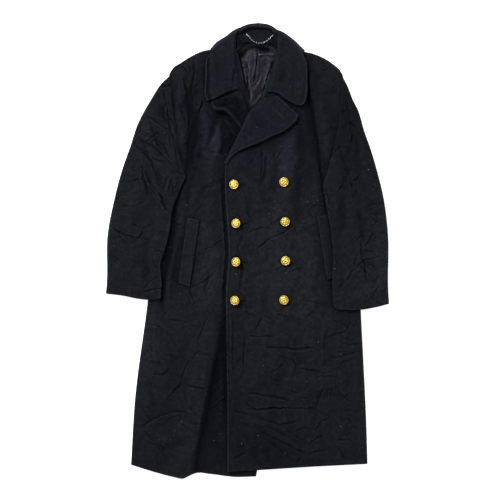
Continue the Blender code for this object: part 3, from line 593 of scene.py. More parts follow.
# %% The panel itself
SEAM_FADES, SEAM_FADING = 275.0, 60.0  # mm up the coat where a seam's shade starts, and mm until it is full
SEAM_WALL, SEAM_TAPER = 0.35, 9.0  # mm, the cloth's thickness at a sewn seam, and how soon it is full again
SEAM_HOLLOW, SEAM_REACH = 2.2, 3.0  # depth of the painted shade along the seam, and mm to each side
MASK_BLUR, MASK_SHARE = 3.0, 0.12  # a panel counts as covering a little more than its outline
LOFT_REACH = 12.0  # mm in from its outline a panel has its whole loft
LONG_WAVE, SHORT_WAVE = (7.0, 22.0), (3.2, 4.5)  # reach across and along of the cloth's soft waves
EDGE_LINES = {"start": np.s_[:, :1], "end": np.s_[:, -1:], "foot": np.s_[:1], "top": np.s_[-1:]}


def run_length(points):
    """Length of the straight runs between points."""
    return np.linalg.norm(np.diff(np.array(points, float), axis=0), axis=1).sum()


def covered(plan):
    """True at each raster point under a grid and a little past its edge."""
    outline = plan.reshape(-1, 2)[rim(*plan.shape[:2])]
    return blur(inside(outline).astype(float), MASK_BLUR) > MASK_SHARE


def lay(node_name, edges, step, loft=3.6, wall=MELTON_WALL, creases=(), minor=0, swell=0.5,
        crumple=0.15, shape=None, turned=None, sewn=None, free=(), nose=2.2, stiffness=7.0, seed=1,
        material=melton):
    """Lays one panel on the map. shape adds a height from the plan, the shares u and v and the edge
    distances, turned gives the radius of each folded edge and how far it stays up, and sewn how far in from
    a seam the cloth is drawn down to it."""
    width = max(run_length(edges[side]) for side in ("foot", "top"))
    length = max(run_length(edges[side]) for side in ("start", "end"))
    u, v = shares(width, step), shares(length, step)
    plan = patch(edges, u, v)
    distance = edge_distances(plan)
    mask = covered(plan)
    rise = loft * ease(2 * blur(mask.astype(float), LOFT_REACH) - 1)
    slack = 0.75 * waves(*LONG_WAVE, seed) + 0.45 * waves(*SHORT_WAVE, seed + 50)
    rough = swell * slack + crumple * facets(seed + 90)
    relief, hollow_shade = crease_relief([*creases, *minor_creases(plan, minor, seed)], plan)
    low = read(settled(rise, mask, stiffness) + rough, plan) + relief
    low = np.maximum(low, read(pile, plan) + GAP)
    low = low + (0.0 if shape is None else shape(plan, *np.meshgrid(u, v), distance))
    high = low + (wall(plan, *np.meshgrid(u, v), distance) if callable(wall) else wall)
    for side in free:
        low, high = bull_nosed(low, high, distance[side], nose)
    for side, (radius, hold) in (turned or {}).items():
        level = read(pile, plan)[EDGE_LINES[side]] + hold
        low, high = turned_under(low, high, distance[side], radius, level)
    for side, reach in (sewn or {}).items():
        below = read(pile, plan) + GAP
        low = below + (low - below) * ease(distance[side] / reach)
        high = low + SEAM_WALL + (high - low - SEAM_WALL) * ease(distance[side] / SEAM_TAPER)
        shown = ease((plan[..., 1] - SEAM_FADES) / SEAM_FADING)
        # painted shade along the armhole seam
        hollow_shade = np.maximum(hollow_shade, SEAM_HOLLOW * shown * bell(distance[side], 0.0, SEAM_REACH))
    upper = np.dstack([plan, high])
    piece = add_wall(f"{node_name}_cloth", np.dstack([plan, low]), upper, material, coarse=3)
    heap_up(upper, int(math.ceil(1.25 * step / CELL)) + 1)
    laid.append((piece, upper, hollow_shade))
    stand_for(node_name)


# %% [markdown]
# ## The back and the lining
# The back lies on the table and shows only from below, so a coarse grid does. It is a wall of melton that
# stops just inside the side seams. In the neck opening the satin lining shows, with a pleat down its
# middle that lets the shoulders move. Satin is thin and slippery: its folds are sharper and closer than
# the wool's.

# %% Collar fall under the back
NECK_LEVEL = 8.0  # mm, the height of the collar's roll round the neck
NECK_ROLL = 2.0  # mm, its radius
COLLAR_WALL = 3.0  # mm
COLLAR_FALL = 97.0  # mm from the roll to the outer edge
COLLAR_UNDER_ROWS = 30
SEAM_INSET = 4.5  # mm, the back stops this far inside the side seams

RIGHT_SIDE = [(-297, -546), (-287, -381), (-254, -126), (-240, 1), (-231, 129), (-224, 215), (-194, 300),
              (-191, 345), (-197, 420), (-200, 449)]
LEFT_SIDE = [(306, -544), (303, -440), (296, -290), (289, -152), (284, 1), (279, 129), (268, 222),
             (237, 300), (238, 345), (245, 420), (243, 448)]
BACK_CENTRE = [(27, 580), (27, 490)]
COLLAR = {
    "left": {
        "roll": [(46, 404), (52, 420), (60, 450), (68, 483), (75, 511), (75, 540), (72, 562)],
        "edge": [(137, 369), (145, 374), (149.5, 388), (152, 435), (151, 473), (146, 508)],
        "end": [(46, 404), (79, 399), (94, 387), (114, 375.5), (127, 369.5), (137, 369)],
        "fold": [(72, 562), (85, 558), (111, 541), (136, 518), (146, 508)],
        "back roll": [(72, 562), (58, 574), (27, 580)],
        "back fall": [(146, 508), (100, 494), (27, 490)],
        "curl": 0.3,
    },
    "right": {
        "roll": [(-18, 411), (-20, 432), (-27, 483), (-30, 524), (-27, 552), (-18, 567)],
        "edge": [(-103, 380), (-108, 397), (-107, 432), (-104, 486), (-94, 512)],
        "end": [(-18, 411), (-38, 407), (-65, 396), (-88, 384), (-103, 380)],
        "fold": [(-18, 567), (-25, 565), (-56, 544), (-80, 528), (-94, 512)],
        "back roll": [(-18, 567), (-4, 575), (27, 580)],
        "back fall": [(-94, 512), (-50, 496), (27, 490)],
        "curl": 4.0,
    },
}
collar_across = shares(COLLAR_FALL, 3.0)
collar_under = {}
for side, line in COLLAR.items():
    under_edges = {"foot": line["fold"], "top": BACK_CENTRE,
                   "start": line["back roll"], "end": line["back fall"]}
    under = patch(under_edges, collar_across, np.linspace(0, 1, COLLAR_UNDER_ROWS))
    heap_up(np.dstack([under, np.full(under.shape[:2], COLLAR_WALL)]), 4)
    collar_under[side] = under
print("collar's fall under the back is", round(float(pile.max()), 2), "mm high")

# %% Back
ALL_EDGES = ("foot", "top", "start", "end")
BACK_HEM = [(-291, -536), (0, -552), (301, -535)]
BACK_TOP = [(-196, 444), (-168, 475), (-142, 491), (-90, 500), (-40, 512), (27, 528), (88, 506), (142, 495),
            (181, 492), (215, 473), (239, 443)]


def inside_seam(seam, shift, first, last):
    """The front's seam line moved in, between the back's own corners."""
    return [first] + [(x + shift, y) for x, y in seam[1:-1]] + [last]


BACK_CREASES = [
    ([(-120, 180), (-60, 150), (30, 165)], 7, 1.2),
    ([(60, -60), (120, -95), (170, -90)], 8, 1.2),
    ([(-180, -240), (-110, -275), (-30, -262)], 8, 1.2),
]
lay("back", {"foot": BACK_HEM, "top": BACK_TOP,
             "start": inside_seam(RIGHT_SIDE, SEAM_INSET, BACK_HEM[0], BACK_TOP[0]),
             "end": inside_seam(LEFT_SIDE, -SEAM_INSET, BACK_HEM[-1], BACK_TOP[-1])},
    9.0, loft=0.4, creases=BACK_CREASES, swell=0.12, free=ALL_EDGES, seed=3)

# %% Lining
LINING = {
    "top": [(-52, 500), (-10, 518), (27, 521), (62, 518), (98, 496)],
    "start": [(-6, 338), (-28, 388), (-42, 440), (-52, 500)],
    "end": [(24, 338), (64, 388), (82, 440), (98, 496)],
    "foot": [(-6, 338), (24, 338)],
}
LINING_FOLDS = [
    ([(9, 514), (9, 490), (8, 470), (8, 445), (9, 415), (10, 380), (8, 355)], 13, -4.5),
    ([(24, 517), (24, 490), (22, 468), (19, 448), (17, 425)], 3.5, 4.5),
    ([(-2, 484), (-1, 470), (1, 455), (0, 430), (3, 405), (6, 375)], 4, 4.0),
    ([(-14, 492), (-10, 478), (-8, 464)], 6, -2.5),
    ([(-8, 460), (-5, 440), (-2, 420)], 5, -2.0),
    ([(-24, 500), (-18, 470), (-9, 440), (-1, 405)], 5, 3.5),
    ([(26, 497), (36, 500), (52, 499), (72, 497)], 5, -3.0),
    ([(-24, 488), (-12, 502), (2, 516), (17, 522), (37, 517), (53, 513), (70, 502)], 8, 7.0),
    ([(40, 446), (29, 427), (17, 404), (10, 380)], 6, -3.0),
    ([(33, 452), (24, 430), (16, 415)], 4, 2.4),
    ([(66, 490), (60, 462), (49, 431), (44, 415), (30, 390)], 5, 3.5),
    ([(50, 440), (43, 415), (28, 386), (16, 366)], 5, -2.2),
    ([(44, 480), (42, 462), (36, 450)], 8, 1.6),
]
lay("back_lining", LINING, 1.6, loft=3.4, wall=0.8, creases=LINING_FOLDS, swell=0.3,
    material=satin, stiffness=4.0, seed=7, nose=0.8, free=ALL_EDGES)

# %% [markdown]
# ## The right front
# The right front lies under the left one and shows beside the sleeve, at the chest and in the skirt.
# Below the lowest button the coat falls open, so the skirt swings out in a big soft roll with a dark
# valley beside it. The roll is a bell across a slanting line, steep on the opening's side and long on the
# other. The side seam is a folded edge.

# %% Right front creases
RIGHT_FRONT_CREASES = [
    ([(-175, 474), (-160, 464), (-152, 449)], 3.5, 1.8),
    ([(-172, 477), (-157, 470), (-147, 452)], 5, -2.0),
    ([(-136, 490), (-136, 444), (-145, 404), (-141, 360), (-145, 320)], 5.5, 4.0),
    ([(-163, 442), (-154, 404), (-147, 349), (-150, 300)], 5.5, 3.6),
    ([(-128, 366), (-132, 320), (-141, 269), (-148, 215)], 9, 6.0),
    ([(-110, 384), (-124, 352), (-130, 330)], 4, 3.0),
    ([(-118, 300), (-122, 262), (-126, 225)], 8, 4.0),
    ([(-120, 480), (-118, 440), (-121, 400)], 8, -2.2),
    ([(-180, 390), (-168, 354), (-153, 314)], 5, 2.2),
    ([(-168, 432), (-174, 400), (-180, 360), (-176, 315)], 7, -2.4),
    ([(-138, 318), (-139, 280), (-144, 240), (-158, 195), (-176, 145)], 8, 5.0),
    ([(-136, 380), (-137, 320), (-140, 270), (-152, 215), (-168, 165), (-184, 115), (-196, 50)], 5.5, 3.8),
    ([(-166, 420), (-170, 330), (-164, 240)], 13, -6.5),
    ([(-112, 345), (-100, 240), (-76, 120)], 20, -4.0),
    ([(-76, 340), (-85, 312), (-95, 283), (-103, 262)], 6.5, 3.4),
    ([(-62, 332), (-60, 302), (-60, 270), (-62, 236)], 6, 4.5),
    ([(-64, 332), (-52, 314), (-38, 292), (-30, 280)], 4.5, 3.5),
    ([(-57, 337), (-44, 319), (-28, 296)], 6, -3.0),
    ([(-117, 155), (-103, 163), (-89, 160)], 4, 1.6),
    ([(-147, 218), (-152, 92)], 8, 2.4),
    ([(-60, 205), (-63, 180), (-58, 80), (-53, 0), (-59, -100), (-59, -165)], 5.5, 4.2),
    ([(-114, 1), (-85, 12), (-59, 31)], 3, 1.6),
    ([(-147, -95), (-110, -80), (-81, -57)], 3, 2.0),
    ([(-149, -97), (-134, -135)], 4, 1.6),
    ([(-176, 140), (-190, 103), (-188, 58), (-198, 14), (-207, -24), (-212, -75), (-217, -124),
      (-218, -160)], 7.5, 6.5),
    ([(-178, 70), (-184, 10), (-194, -60), (-200, -120)], 6, -3.0),
    ([(-99, -159), (-115, -200), (-130, -243)], 3.2, 2.2),
    ([(-138, -256), (-155, -292), (-166, -319), (-169, -340), (-190, -362), (-217, -388)], 3.2, 2.2),
    ([(-136, -263), (-108, -262), (-90, -271)], 3.5, 1.8),
    ([(-166, -337), (-139, -347), (-108, -350), (-87, -344), (-54, -313)], 3.5, 2.2),
    ([(-253, -283), (-226, -286), (-220, -292)], 3, 1.8),
    ([(-253, -314), (-214, -317), (-196, -298)], 3.5, 1.8),
    ([(-250, -186), (-223, -195), (-211, -207), (-196, -219)], 3.5, 1.8),
    ([(-199, -176), (-175, -179), (-151, -185)], 3.5, 2.0),
    ([(-193, -328), (-175, -340)], 3, 1.6),
    ([(-286, -451), (-268, -448), (-235, -427), (-199, -412), (-178, -409), (-133, -418)], 3.5, 2.2),
    ([(-163, -361), (-151, -394), (-118, -433)], 5, 1.6),
    ([(-148, -433), (-120, -445)], 4, 1.4),
    ([(-268, -457), (-253, -472), (-235, -490)], 4, 1.6),
    ([(-96, -400), (-54, -370)], 4, -1.8),
    ([(-99, -409), (-54, -413)], 3, 1.8),
    ([(-185, -424), (-142, -458), (-121, -475)], 3.5, 1.6),
    ([(-202, -211), (-176, -254), (-151, -296)], 3, 1.4),
    ([(-249, -237), (-240, -262)], 3, 1.4),
    ([(-236, -490), (-220, -512), (-202, -534)], 3.5, 1.5),
    ([(-245, -360), (-240, -400)], 6, 1.2),
    ([(-220, -500), (-185, -492), (-150, -480)], 12, 1.4),
]
print(len(RIGHT_FRONT_CREASES), "creases on the right front")

# %% Right front
RIGHT_HEM = [(-297, -546), (-246, -562), (-185, -577), (-163, -580), (-148, -573), (-130, -567),
             (-93, -570), (-30, -577), (22, -576)]
RIGHT_FRONT_EDGE = [(22, -576), (57, -381), (96, -177), (103, 1), (96, 180), (57, 282), (9, 351), (-1, 400),
                    (-10, 440), (-20, 486), (-30, 518)]
RIGHT_SHOULDER = [(-30, 518), (-90, 513), (-116, 508), (-142, 496), (-168, 480), (-189, 466), (-200, 449)]
ROLL_TOP, ROLL_HEM = (-47, -135), (-136, -568)  # the line of the skirt's roll
ROLL_HEIGHT = 17.0  # mm
ROLL_CREST = 13.0  # mm, how far the crest lies behind the roll's steep side
ROLL_BACK, ROLL_FACE = 52.0, 10.0  # mm that each side takes to fall


def skirt_roll(plan, u, v, distance):
    """Bell across the roll's line, wider behind the crest than in front, rising from the lowest button
    to the hem."""
    top, run = np.array(ROLL_TOP, float), np.subtract(ROLL_HEM, ROLL_TOP)
    length = np.linalg.norm(run)
    run = run / length
    away = plan - top
    t = away @ run / length
    side = away @ np.array([-run[1], run[0]]) + ROLL_CREST
    fall = np.where(side < 0, ROLL_BACK, ROLL_FACE)
    return ROLL_HEIGHT * ease(t / 0.42) * bell(side, 0.0, fall)


lay("right_front",
    {"foot": RIGHT_HEM, "top": RIGHT_SHOULDER[::-1], "start": RIGHT_SIDE, "end": RIGHT_FRONT_EDGE},
    2.3, creases=RIGHT_FRONT_CREASES, minor=66, shape=skirt_roll,
    crumple=0.8, turned={"start": (5.0, 0.0), "top": (5.0, 0.0)}, free=("foot", "end"), seed=11)

# %% [markdown]
# ## The right lapel
# The right lapel has been pushed under the left front and is crumpled: its sewn edge stands up as a thick
# bright roll with a hollow behind it. It is a doubled cloth, so its wall is thicker than a single
# panel's.

# %% Right lapel
LAPEL_WALL = 3.2  # mm
CRUMPLED_LIFT = 4.5  # mm, how far the sewn edge stands off the chest
RIGHT_LAPEL = {
    "end": [(26, 314), (4, 349), (-10, 392), (-17, 406)],
    "start": [(4, 290), (-19, 312), (-40, 338), (-55, 353), (-61, 356), (-78, 355), (-83, 356), (-86, 361),
              (-92, 374), (-91, 379)],
    "top": [(-91, 379), (-65, 390), (-38, 401), (-17, 406)],
    "foot": [(4, 290), (26, 314)],
}
RIGHT_LAPEL_CREASES = [
    ([(-91, 382), (-87, 369), (-80, 360), (-61, 361), (-50, 355), (-36, 340), (-16, 315), (-4, 302)],
     5.9, -5.0),
    ([(-84, 378), (-77, 368), (-60, 368), (-46, 361), (-29, 344), (-13, 324)], 5.5, 5.5),
    ([(-82, 385), (-62, 391), (-44, 398), (-28, 401)], 4, 4.0),
    ([(-66, 382), (-48, 384), (-38, 376)], 7, -2.6),
    ([(-42, 362), (-30, 352), (-19, 338)], 4, 3.6),
    ([(-30, 396), (-26, 376), (-22, 352)], 5, 3.0),
    ([(-16, 398), (-12, 376), (-2, 352)], 6, -1.8),
]


def crumpled_lift(plan, u, v, distance):
    """The sewn edge stands well off the chest, and the rest falls away towards the neck."""
    return CRUMPLED_LIFT * (1 - u) ** 1.5 * ease(v / 0.3)


lay("right_facing", RIGHT_LAPEL, 2.0, loft=4.4,
    wall=LAPEL_WALL, shape=crumpled_lift, creases=RIGHT_LAPEL_CREASES, swell=0.3,
    turned={"end": (4.0, 0.0)}, free=("start", "top", "foot"), nose=2.8, seed=13)

# %% [markdown]
# ## The left front
# The left front is the large panel that laps over the right one and carries the buttons. Its front edge
# is faced, so it is thicker and stands off the cloth below with a dark line beside it. A tight fold runs
# from the collar down beside the arm, a row of creases crosses the skirt where the coat was folded, and
# slanting ones run to the hem.

# %% Left front creases
ARM_FOLD = [(150, 440), (156, 393), (164, 355), (174, 291), (183, 228), (193, 158), (203, 100), (214, 40)]
LEFT_FRONT_CREASES = [
    (ARM_FOLD, 5.9, 6.5),
    (ARM_FOLD, 9, 2.0),
    ([(152, 410), (160, 340), (173, 270), (184, 200)], 11, 2.6),
    ([(182, 400), (196, 300), (206, 215)], 13, -4.0),
    ([(100, 310), (104, 200), (106, 100)], 18, -3.0),
    ([(80, -325), (160, -335), (250, -330)], 30, -2.4),
    ([(152, 459), (154, 420), (158, 395)], 6, 2.6),
    ([(215, 477), (205, 464), (198, 457), (188, 462)], 3, 2.0),
    ([(133, 335), (138, 290), (142, 240), (140, 195)], 9, 2.8),
    ([(35, 262), (37, 215), (33, 180)], 4, 2.6),
    ([(58, 245), (56, 190), (50, 150)], 10, -2.6),
    ([(47, 245), (45, 205), (36, 170)], 5.5, 2.6),
    ([(128, 240), (130, 160), (126, 60)], 12, 2.0),
    ([(11, 151), (5, 115), (2, 89)], 7, 1.8),
    ([(-10, 42), (15, 50), (34, 57), (80, 58)], 3, 1.6),
    ([(20, 1), (40, 16), (58, 31), (81, 39), (107, 56)], 3, 2.4),
    ([(-12, 42), (-24, 5), (-20, -15), (-12, -45), (-21, -104)], 5, 2.6),
    ([(188, 290), (204, 300), (220, 316)], 6, 1.4),
    ([(198, 396), (214, 404), (233, 409)], 6, 1.4),
    ([(199, -224), (228, -212), (252, -206), (260, -179)], 3.5, 2.0),
    ([(210, -188), (196, -224), (196, -262), (198, -305)], 4, 1.6),
    ([(3, -218), (35, -219), (66, -217)], 3, 2.8),
    ([(44, -243), (72, -248), (133, -251), (182, -246)], 4, 3.0),
    ([(108, -259), (124, -298), (108, -334)], 3, 2.2),
    ([(124, -298), (160, -305), (193, -312), (221, -306), (243, -284), (279, -276)], 3.5, 1.6),
    ([(221, -309), (213, -331), (210, -387)], 3, 1.4),
    ([(202, -334), (188, -362), (177, -389), (174, -402)], 3, 1.5),
    ([(-3, -362), (55, -370), (108, -380)], 5, 3.0),
    ([(97, -353), (116, -360), (135, -364)], 3, 2.0),
    ([(-22, -403), (30, -404), (88, -402), (174, -402), (196, -424)], 3.5, 2.6),
    ([(-42, -407), (22, -424), (87, -445)], 4, 1.9),
    ([(-28, -432), (45, -466), (113, -500), (164, -526)], 3.5, 1.5),
    ([(28, -436), (87, -466), (147, -496)], 3.5, 1.7),
    ([(45, -479), (96, -517), (121, -543)], 4, 1.4),
    ([(-40, -441), (2, -483), (28, -526)], 3.5, 1.3),
    ([(-10, -420), (40, -446), (70, -470)], 7, -1.8),
    ([(75, -445), (127, -436)], 4, 2.0),
    ([(94, -458), (125, -475), (155, -492)], 3.5, 1.5),
    ([(246, -409), (290, -409)], 3, 1.6),
    ([(227, -482), (263, -483)], 3.5, 2.0),
    ([(232, -496), (243, -520), (249, -534)], 5, 2.2),
    ([(271, -445), (279, -458)], 4, 1.6),
    ([(202, -265), (224, -273), (282, -259)], 5, 1.6),
    ([(-5, -199), (-10, -271), (-10, -334)], 3.5, 1.8),
    ([(36, -168), (28, -185), (22, -201)], 3.5, 1.8),
    ([(-4, -138), (0, -164), (12, -160), (22, -172)], 3, 1.6),
    ([(34, -172), (48, -166), (62, -176)], 3, 1.4),
    ([(-36, -150), (-38, -240), (-36, -330)], 4, 2.4),
    ([(196, -330), (206, -352), (203, -378)], 3, 1.0),
    ([(229, -300), (224, -330), (222, -372)], 3, 1.2),
    ([(120, -382), (140, -374), (160, -380)], 3, 1.4),
    ([(238, -236), (262, -240), (288, -238)], 3.5, 1.6),
    ([(232, -214), (246, -226), (276, -228)], 3, 1.4),
    ([(118, -462), (140, -452), (176, -454)], 3, 1.6),
    ([(258, -428), (266, -440), (268, -452)], 3, 1.8),
    ([(150, -500), (176, -478), (200, -474)], 4, 1.4),
    ([(-20, -470), (0, -500), (8, -540)], 6, -2.0),
    ([(10, -500), (30, -545)], 7, 1.6),
    ([(45, -505), (60, -545)], 7, 1.6),
]
print(len(LEFT_FRONT_CREASES), "creases on the left front")

# %% Left front
FACED = 4.2  # mm, the wall at the front edge, where the front and its facing are sewn together
FACED_REACH = 45.0  # mm in from the edge the wall is plain melton again
LEFT_HEM = [(-51, -563), (20, -560), (150, -552), (306, -544)]
LEFT_FRONT_EDGE = [(-51, -563), (-51, -394), (-54, -175), (-54, -101), (-47, -2), (-52, 78), (-57, 180),
                   (-55, 222), (-40, 253), (-13, 307), (9, 351), (46, 400), (62, 450), (72, 483), (88, 510)]
LEFT_SHOULDER = [(88, 510), (142, 507), (160, 504), (181, 497), (215, 478), (233, 463), (243, 448)]
EDGE_WELT = 7.5  # mm from the front edge to the pressed line inside it
EDGE_PRESS = 1.4  # mm, the depth of that line
FRONT_LIFT = 5.0  # mm, how far the edge stands off what is below


def faced_wall(plan, u, v, distance):
    """The wall: melton, thickening to the faced edge below the lapel, less a pressed line along it."""
    below_lapel = ease((0.72 - v) / 0.08)
    thick = MELTON_WALL + (FACED - MELTON_WALL) * ease(1 - distance["start"] / FACED_REACH) * below_lapel
    return thick - EDGE_PRESS * bell(distance["start"], EDGE_WELT, 2.2)


def front_lift(plan, u, v, distance):
    """The faced edge stands off the right front, up to the foot of the lapel."""
    return FRONT_LIFT * np.exp(-distance["start"] / 16.0) * ease((0.8 - v) / 0.1)


lay("left_front",
    {"foot": LEFT_HEM, "top": LEFT_SHOULDER, "start": LEFT_FRONT_EDGE, "end": LEFT_SIDE},
    2.3, creases=LEFT_FRONT_CREASES, minor=84, wall=faced_wall,
    shape=front_lift, crumple=0.8, turned={"end": (5.0, 0.0), "top": (5.0, 0.0)}, free=("start", "foot"),
    nose=3.2, seed=17)

# %% [markdown]
# ## The left lapel
# The left lapel is folded back on its front along the roll line and is held only there and at the gorge,
# so its pointed edge stands off the chest with a soft shadow under it. The roll itself is a round fold.

# %% Left lapel
LEFT_LAPEL = {
    "start": [(-59, 226), (-44, 255), (-17, 309), (5, 354), (41, 388)],
    "end": [(-54, 219), (-32, 246), (-12, 258), (29, 274), (59, 289), (85, 300), (106, 313), (126, 334),
            (130, 344)],
    "top": [(41, 388), (60, 391), (74, 393.5), (77, 394), (79, 392), (97, 375), (116, 358), (130, 344)],
    "foot": [(-59, 226), (-54, 219)],
}
LAPEL_LIFT = 4.5  # mm, how far the sewn edge stands off the chest
LAPEL_PRESS = 7.0  # mm from a sewn edge to the pressed line inside it


def lapel_lift(plan, u, v, distance):
    """Lift that grows from the roll line to the sewn edge, and from the foot up."""
    return LAPEL_LIFT * u**1.4 * ease(v / 0.35)


def lapel_wall(plan, u, v, distance):
    """Doubled cloth with a pressed line inside the sewn edges."""
    sewn = np.minimum(distance["end"], distance["top"])
    return LAPEL_WALL - 0.5 * bell(sewn, LAPEL_PRESS, 2.2)


LEFT_LAPEL_CREASES = [
    ([(-6, 292), (20, 312), (44, 322)], 9, 1.6),
    ([(30, 352), (52, 336), (66, 312)], 8, -1.4),
]
lay("left_facing", LEFT_LAPEL, 2.4, loft=2.6, wall=lapel_wall, shape=lapel_lift,
    creases=LEFT_LAPEL_CREASES, swell=0.25, turned={"start": (6.0, 0.0)}, free=("end", "top"), nose=2.6,
    seed=19)

# %% [markdown]
# ## The collar
# The collar is one strip that lies on both fronts, rolls over the shoulders and passes under the neck.
# Its middle surface is a grid carried along that route: on the fronts it reads the map, at each shoulder
# it turns through half a circle, and behind the neck it lies on the table. The wall is then built half to
# each side, thinning to a round edge.

# %% Collar stand inside the neck
STAND = {
    "foot": [(-26, 508), (-15, 517), (-4, 527), (9, 531), (30, 529), (52, 527), (64, 522), (74, 510)],
    "top": [(-19, 566), (-4, 574), (27, 579), (56, 573), (72, 562)],
    "start": [(-26, 508), (-26, 545), (-19, 566)],
    "end": [(74, 510), (76, 542), (72, 562)],
}
STAND_LOW, STAND_CLIMB = 0.6, 8.0  # mm


def stand_rise(plan, u, v, distance):
    """The stand lies low inside the neck and climbs steeply to the roll behind it."""
    return STAND_LOW + STAND_CLIMB * ease((v - 0.68) / 0.13)


STAND_CREASES = [
    ([(-16, 552), (0, 562), (24, 566), (52, 565), (68, 556)], 5, 3.0),
    ([(-12, 540), (10, 534)], 5, 1.0),
    ([(-22, 534), (-10, 525), (4, 532)], 5, 2.4),
    ([(38, 527), (54, 534), (70, 522)], 5, 2.4),
    ([(58, 550), (67, 537), (70, 522)], 5, 2.0),
]
lay("collar_stand", STAND, 2.2, loft=0.8, shape=stand_rise, creases=STAND_CREASES,
    swell=0.2, turned={"top": (9.0, 0.0)}, free=("start", "end", "foot"), seed=23)

# %% Collar middle surface
COLLAR_LIFT = 5.5  # mm, how far the outer edge stands off the fronts
COLLAR_LOFT, COLLAR_STIFFNESS = 1.5, 9.0  # mm
ROLL_CREST_RISE = 1.6  # mm, how far the roll round the neck stands above the rest of the collar
ROLL_CREST_PLACE = (7.0, 4.5)  # mm from the neck to that crest, and its reach
CURL_PLACE = (9.0, 5.0)  # mm from the outer edge to the dip behind its curl, and its reach
ROLL_ROUND = 6.0  # mm, the radius of the collar's round edge at the neck
LEAST_BEND = 0.6  # mm, radius
COLLAR_CREASES = [
    ([(104, 508), (107, 470), (107, 426)], 9, -1.8),
    ([(142, 502), (143, 455), (142, 406)], 5, -1.2),
    ([(118, 426), (116, 379)], 3.5, 1.6),
    ([(76, 500), (84, 450), (80, 420)], 8, 1.4),
    ([(-44, 500), (-45, 450), (-42, 420)], 8, -1.6),
    ([(-28, 472), (-36, 445), (-39, 408)], 4, 2.2),
    ([(-88, 500), (-84, 460), (-86, 410)], 7, -1.2),
    ([(98, 500), (96, 455), (90, 415)], 6, 1.2),
    ([(-74, 505), (-78, 450), (-76, 404)], 8, 1.4),
]
COLLAR_ROWS = 52  # of the grid on each front
DRAWN_ROWS = 11  # the rows next to the shoulder fold, drawn in to make room for its half circle
TUCKED_ROWS = 6  # the same below the fold
BENDS = np.radians(np.arange(15, 180, 15))
across = collar_across[None, :]


def collar_half(line, under):
    """Middle surface of half the collar, from its front end up over the shoulder fold and under to the
    centre."""
    edges = {"foot": line["end"], "top": line["fold"], "start": line["roll"], "end": line["edge"]}
    along = np.linspace(0, 1, COLLAR_ROWS)
    front = patch(edges, collar_across, along)
    distance = edge_distances(front)
    field = settled(COLLAR_LOFT, covered(front), COLLAR_STIFFNESS) + 0.25 * waves(6, 14, 29)
    field = np.maximum(field, pile + GAP)
    relief, hollow_shade = crease_relief(COLLAR_CREASES, front)
    curl = bell(distance["end"], *CURL_PLACE) * ease((1 - along[:, None]) / 0.4)
    flat = read(field, front) + relief + COLLAR_WALL / 2 + COLLAR_LIFT * across**1.2 - line["curl"] * curl
    start = NECK_LEVEL + NECK_ROLL
    crest = ROLL_CREST_RISE * bell(distance["start"], *ROLL_CREST_PLACE)
    top_z = start + (np.maximum(flat, start) - start) * ease(distance["start"] / 12.0) + crest
    rounded = 1 - np.sqrt(1 - (1 - np.clip(distance["start"] / ROLL_ROUND, 0, 1)) ** 2)
    top_z = top_z - ROLL_ROUND * rounded
    low = NECK_LEVEL - NECK_ROLL + (COLLAR_WALL / 2 - NECK_LEVEL + NECK_ROLL) * ease(collar_across / 0.22)
    radius = np.maximum((top_z[-1] - low) / 2, LEAST_BEND)
    tangent = np.gradient(front[-1], collar_across, axis=0)
    normal = np.stack([-tangent[:, 1], tangent[:, 0]], 1)
    outwards = np.sign(np.sum(normal * (front[-1] - front[-3]), axis=1))
    normal *= (outwards / np.linalg.norm(normal, axis=1))[:, None]
    draw = ease((np.arange(COLLAR_ROWS) - COLLAR_ROWS + 1 + DRAWN_ROWS) / DRAWN_ROWS)[:, None] * radius
    body = np.dstack([front - normal * draw[..., None], top_z])
    sweep = radius * (1 - np.sin(BENDS))[:, None]
    turn_z = low + radius + radius * np.cos(BENDS)[:, None]
    turn = np.dstack([front[-1] - normal * sweep[..., None], turn_z])
    tuck = ease(1 - np.arange(len(under)) / TUCKED_ROWS)[:, None] * radius
    below = np.dstack([under - normal * tuck[..., None], np.broadcast_to(low, under.shape[:2])])
    # painted shade in the dip behind the collar's curled edge
    hollow_shade = np.maximum(hollow_shade, line["curl"] / 2.0 * curl)
    dip_shade = np.concatenate([hollow_shade, np.zeros((len(BENDS) + len(under), hollow_shade.shape[1]))])
    return np.concatenate([body, turn, below]), dip_shade


left_half, left_collar_shade = collar_half(COLLAR["left"], collar_under["left"])
right_half, right_collar_shade = collar_half(COLLAR["right"], collar_under["right"])
collar_middle = np.concatenate([left_half, right_half[-2::-1]])
collar_shade = np.concatenate([left_collar_shade, right_collar_shade[-2::-1]])
print("collar grid", collar_middle.shape[:2])

# %% Collar wall
COLLAR_NOSE = 2.2  # mm, the depth of its round edge
COLLAR_PRESS = (8.0, 2.4)  # mm from its edge to the pressed line inside it, and the line's reach
COLLAR_PRESS_DEPTH = 0.5  # mm
collar_edge = edge_distances(collar_middle)
nearest_edge = np.minimum(np.minimum(collar_edge["end"], collar_edge["foot"]), collar_edge["top"])
collar_thick = COLLAR_WALL * np.sqrt(1 - (1 - np.clip(nearest_edge / COLLAR_NOSE, 0.06, 1)) ** 2)
collar_thick -= COLLAR_PRESS_DEPTH * bell(nearest_edge, *COLLAR_PRESS)
collar_normal = np.cross(np.gradient(collar_middle, axis=1), np.gradient(collar_middle, axis=0))
collar_normal /= np.linalg.norm(collar_normal, axis=2)[..., None]
half_wall = collar_normal * collar_thick[..., None] / 2
collar_upper = collar_middle + half_wall
collar = add_wall("collar_cloth", collar_middle - half_wall, collar_upper, melton)
stand_for("collar")
laid.append((collar, collar_upper, collar_shade))
heap_up(collar_upper[:COLLAR_ROWS], 3)
heap_up(collar_upper[-COLLAR_ROWS:], 3)

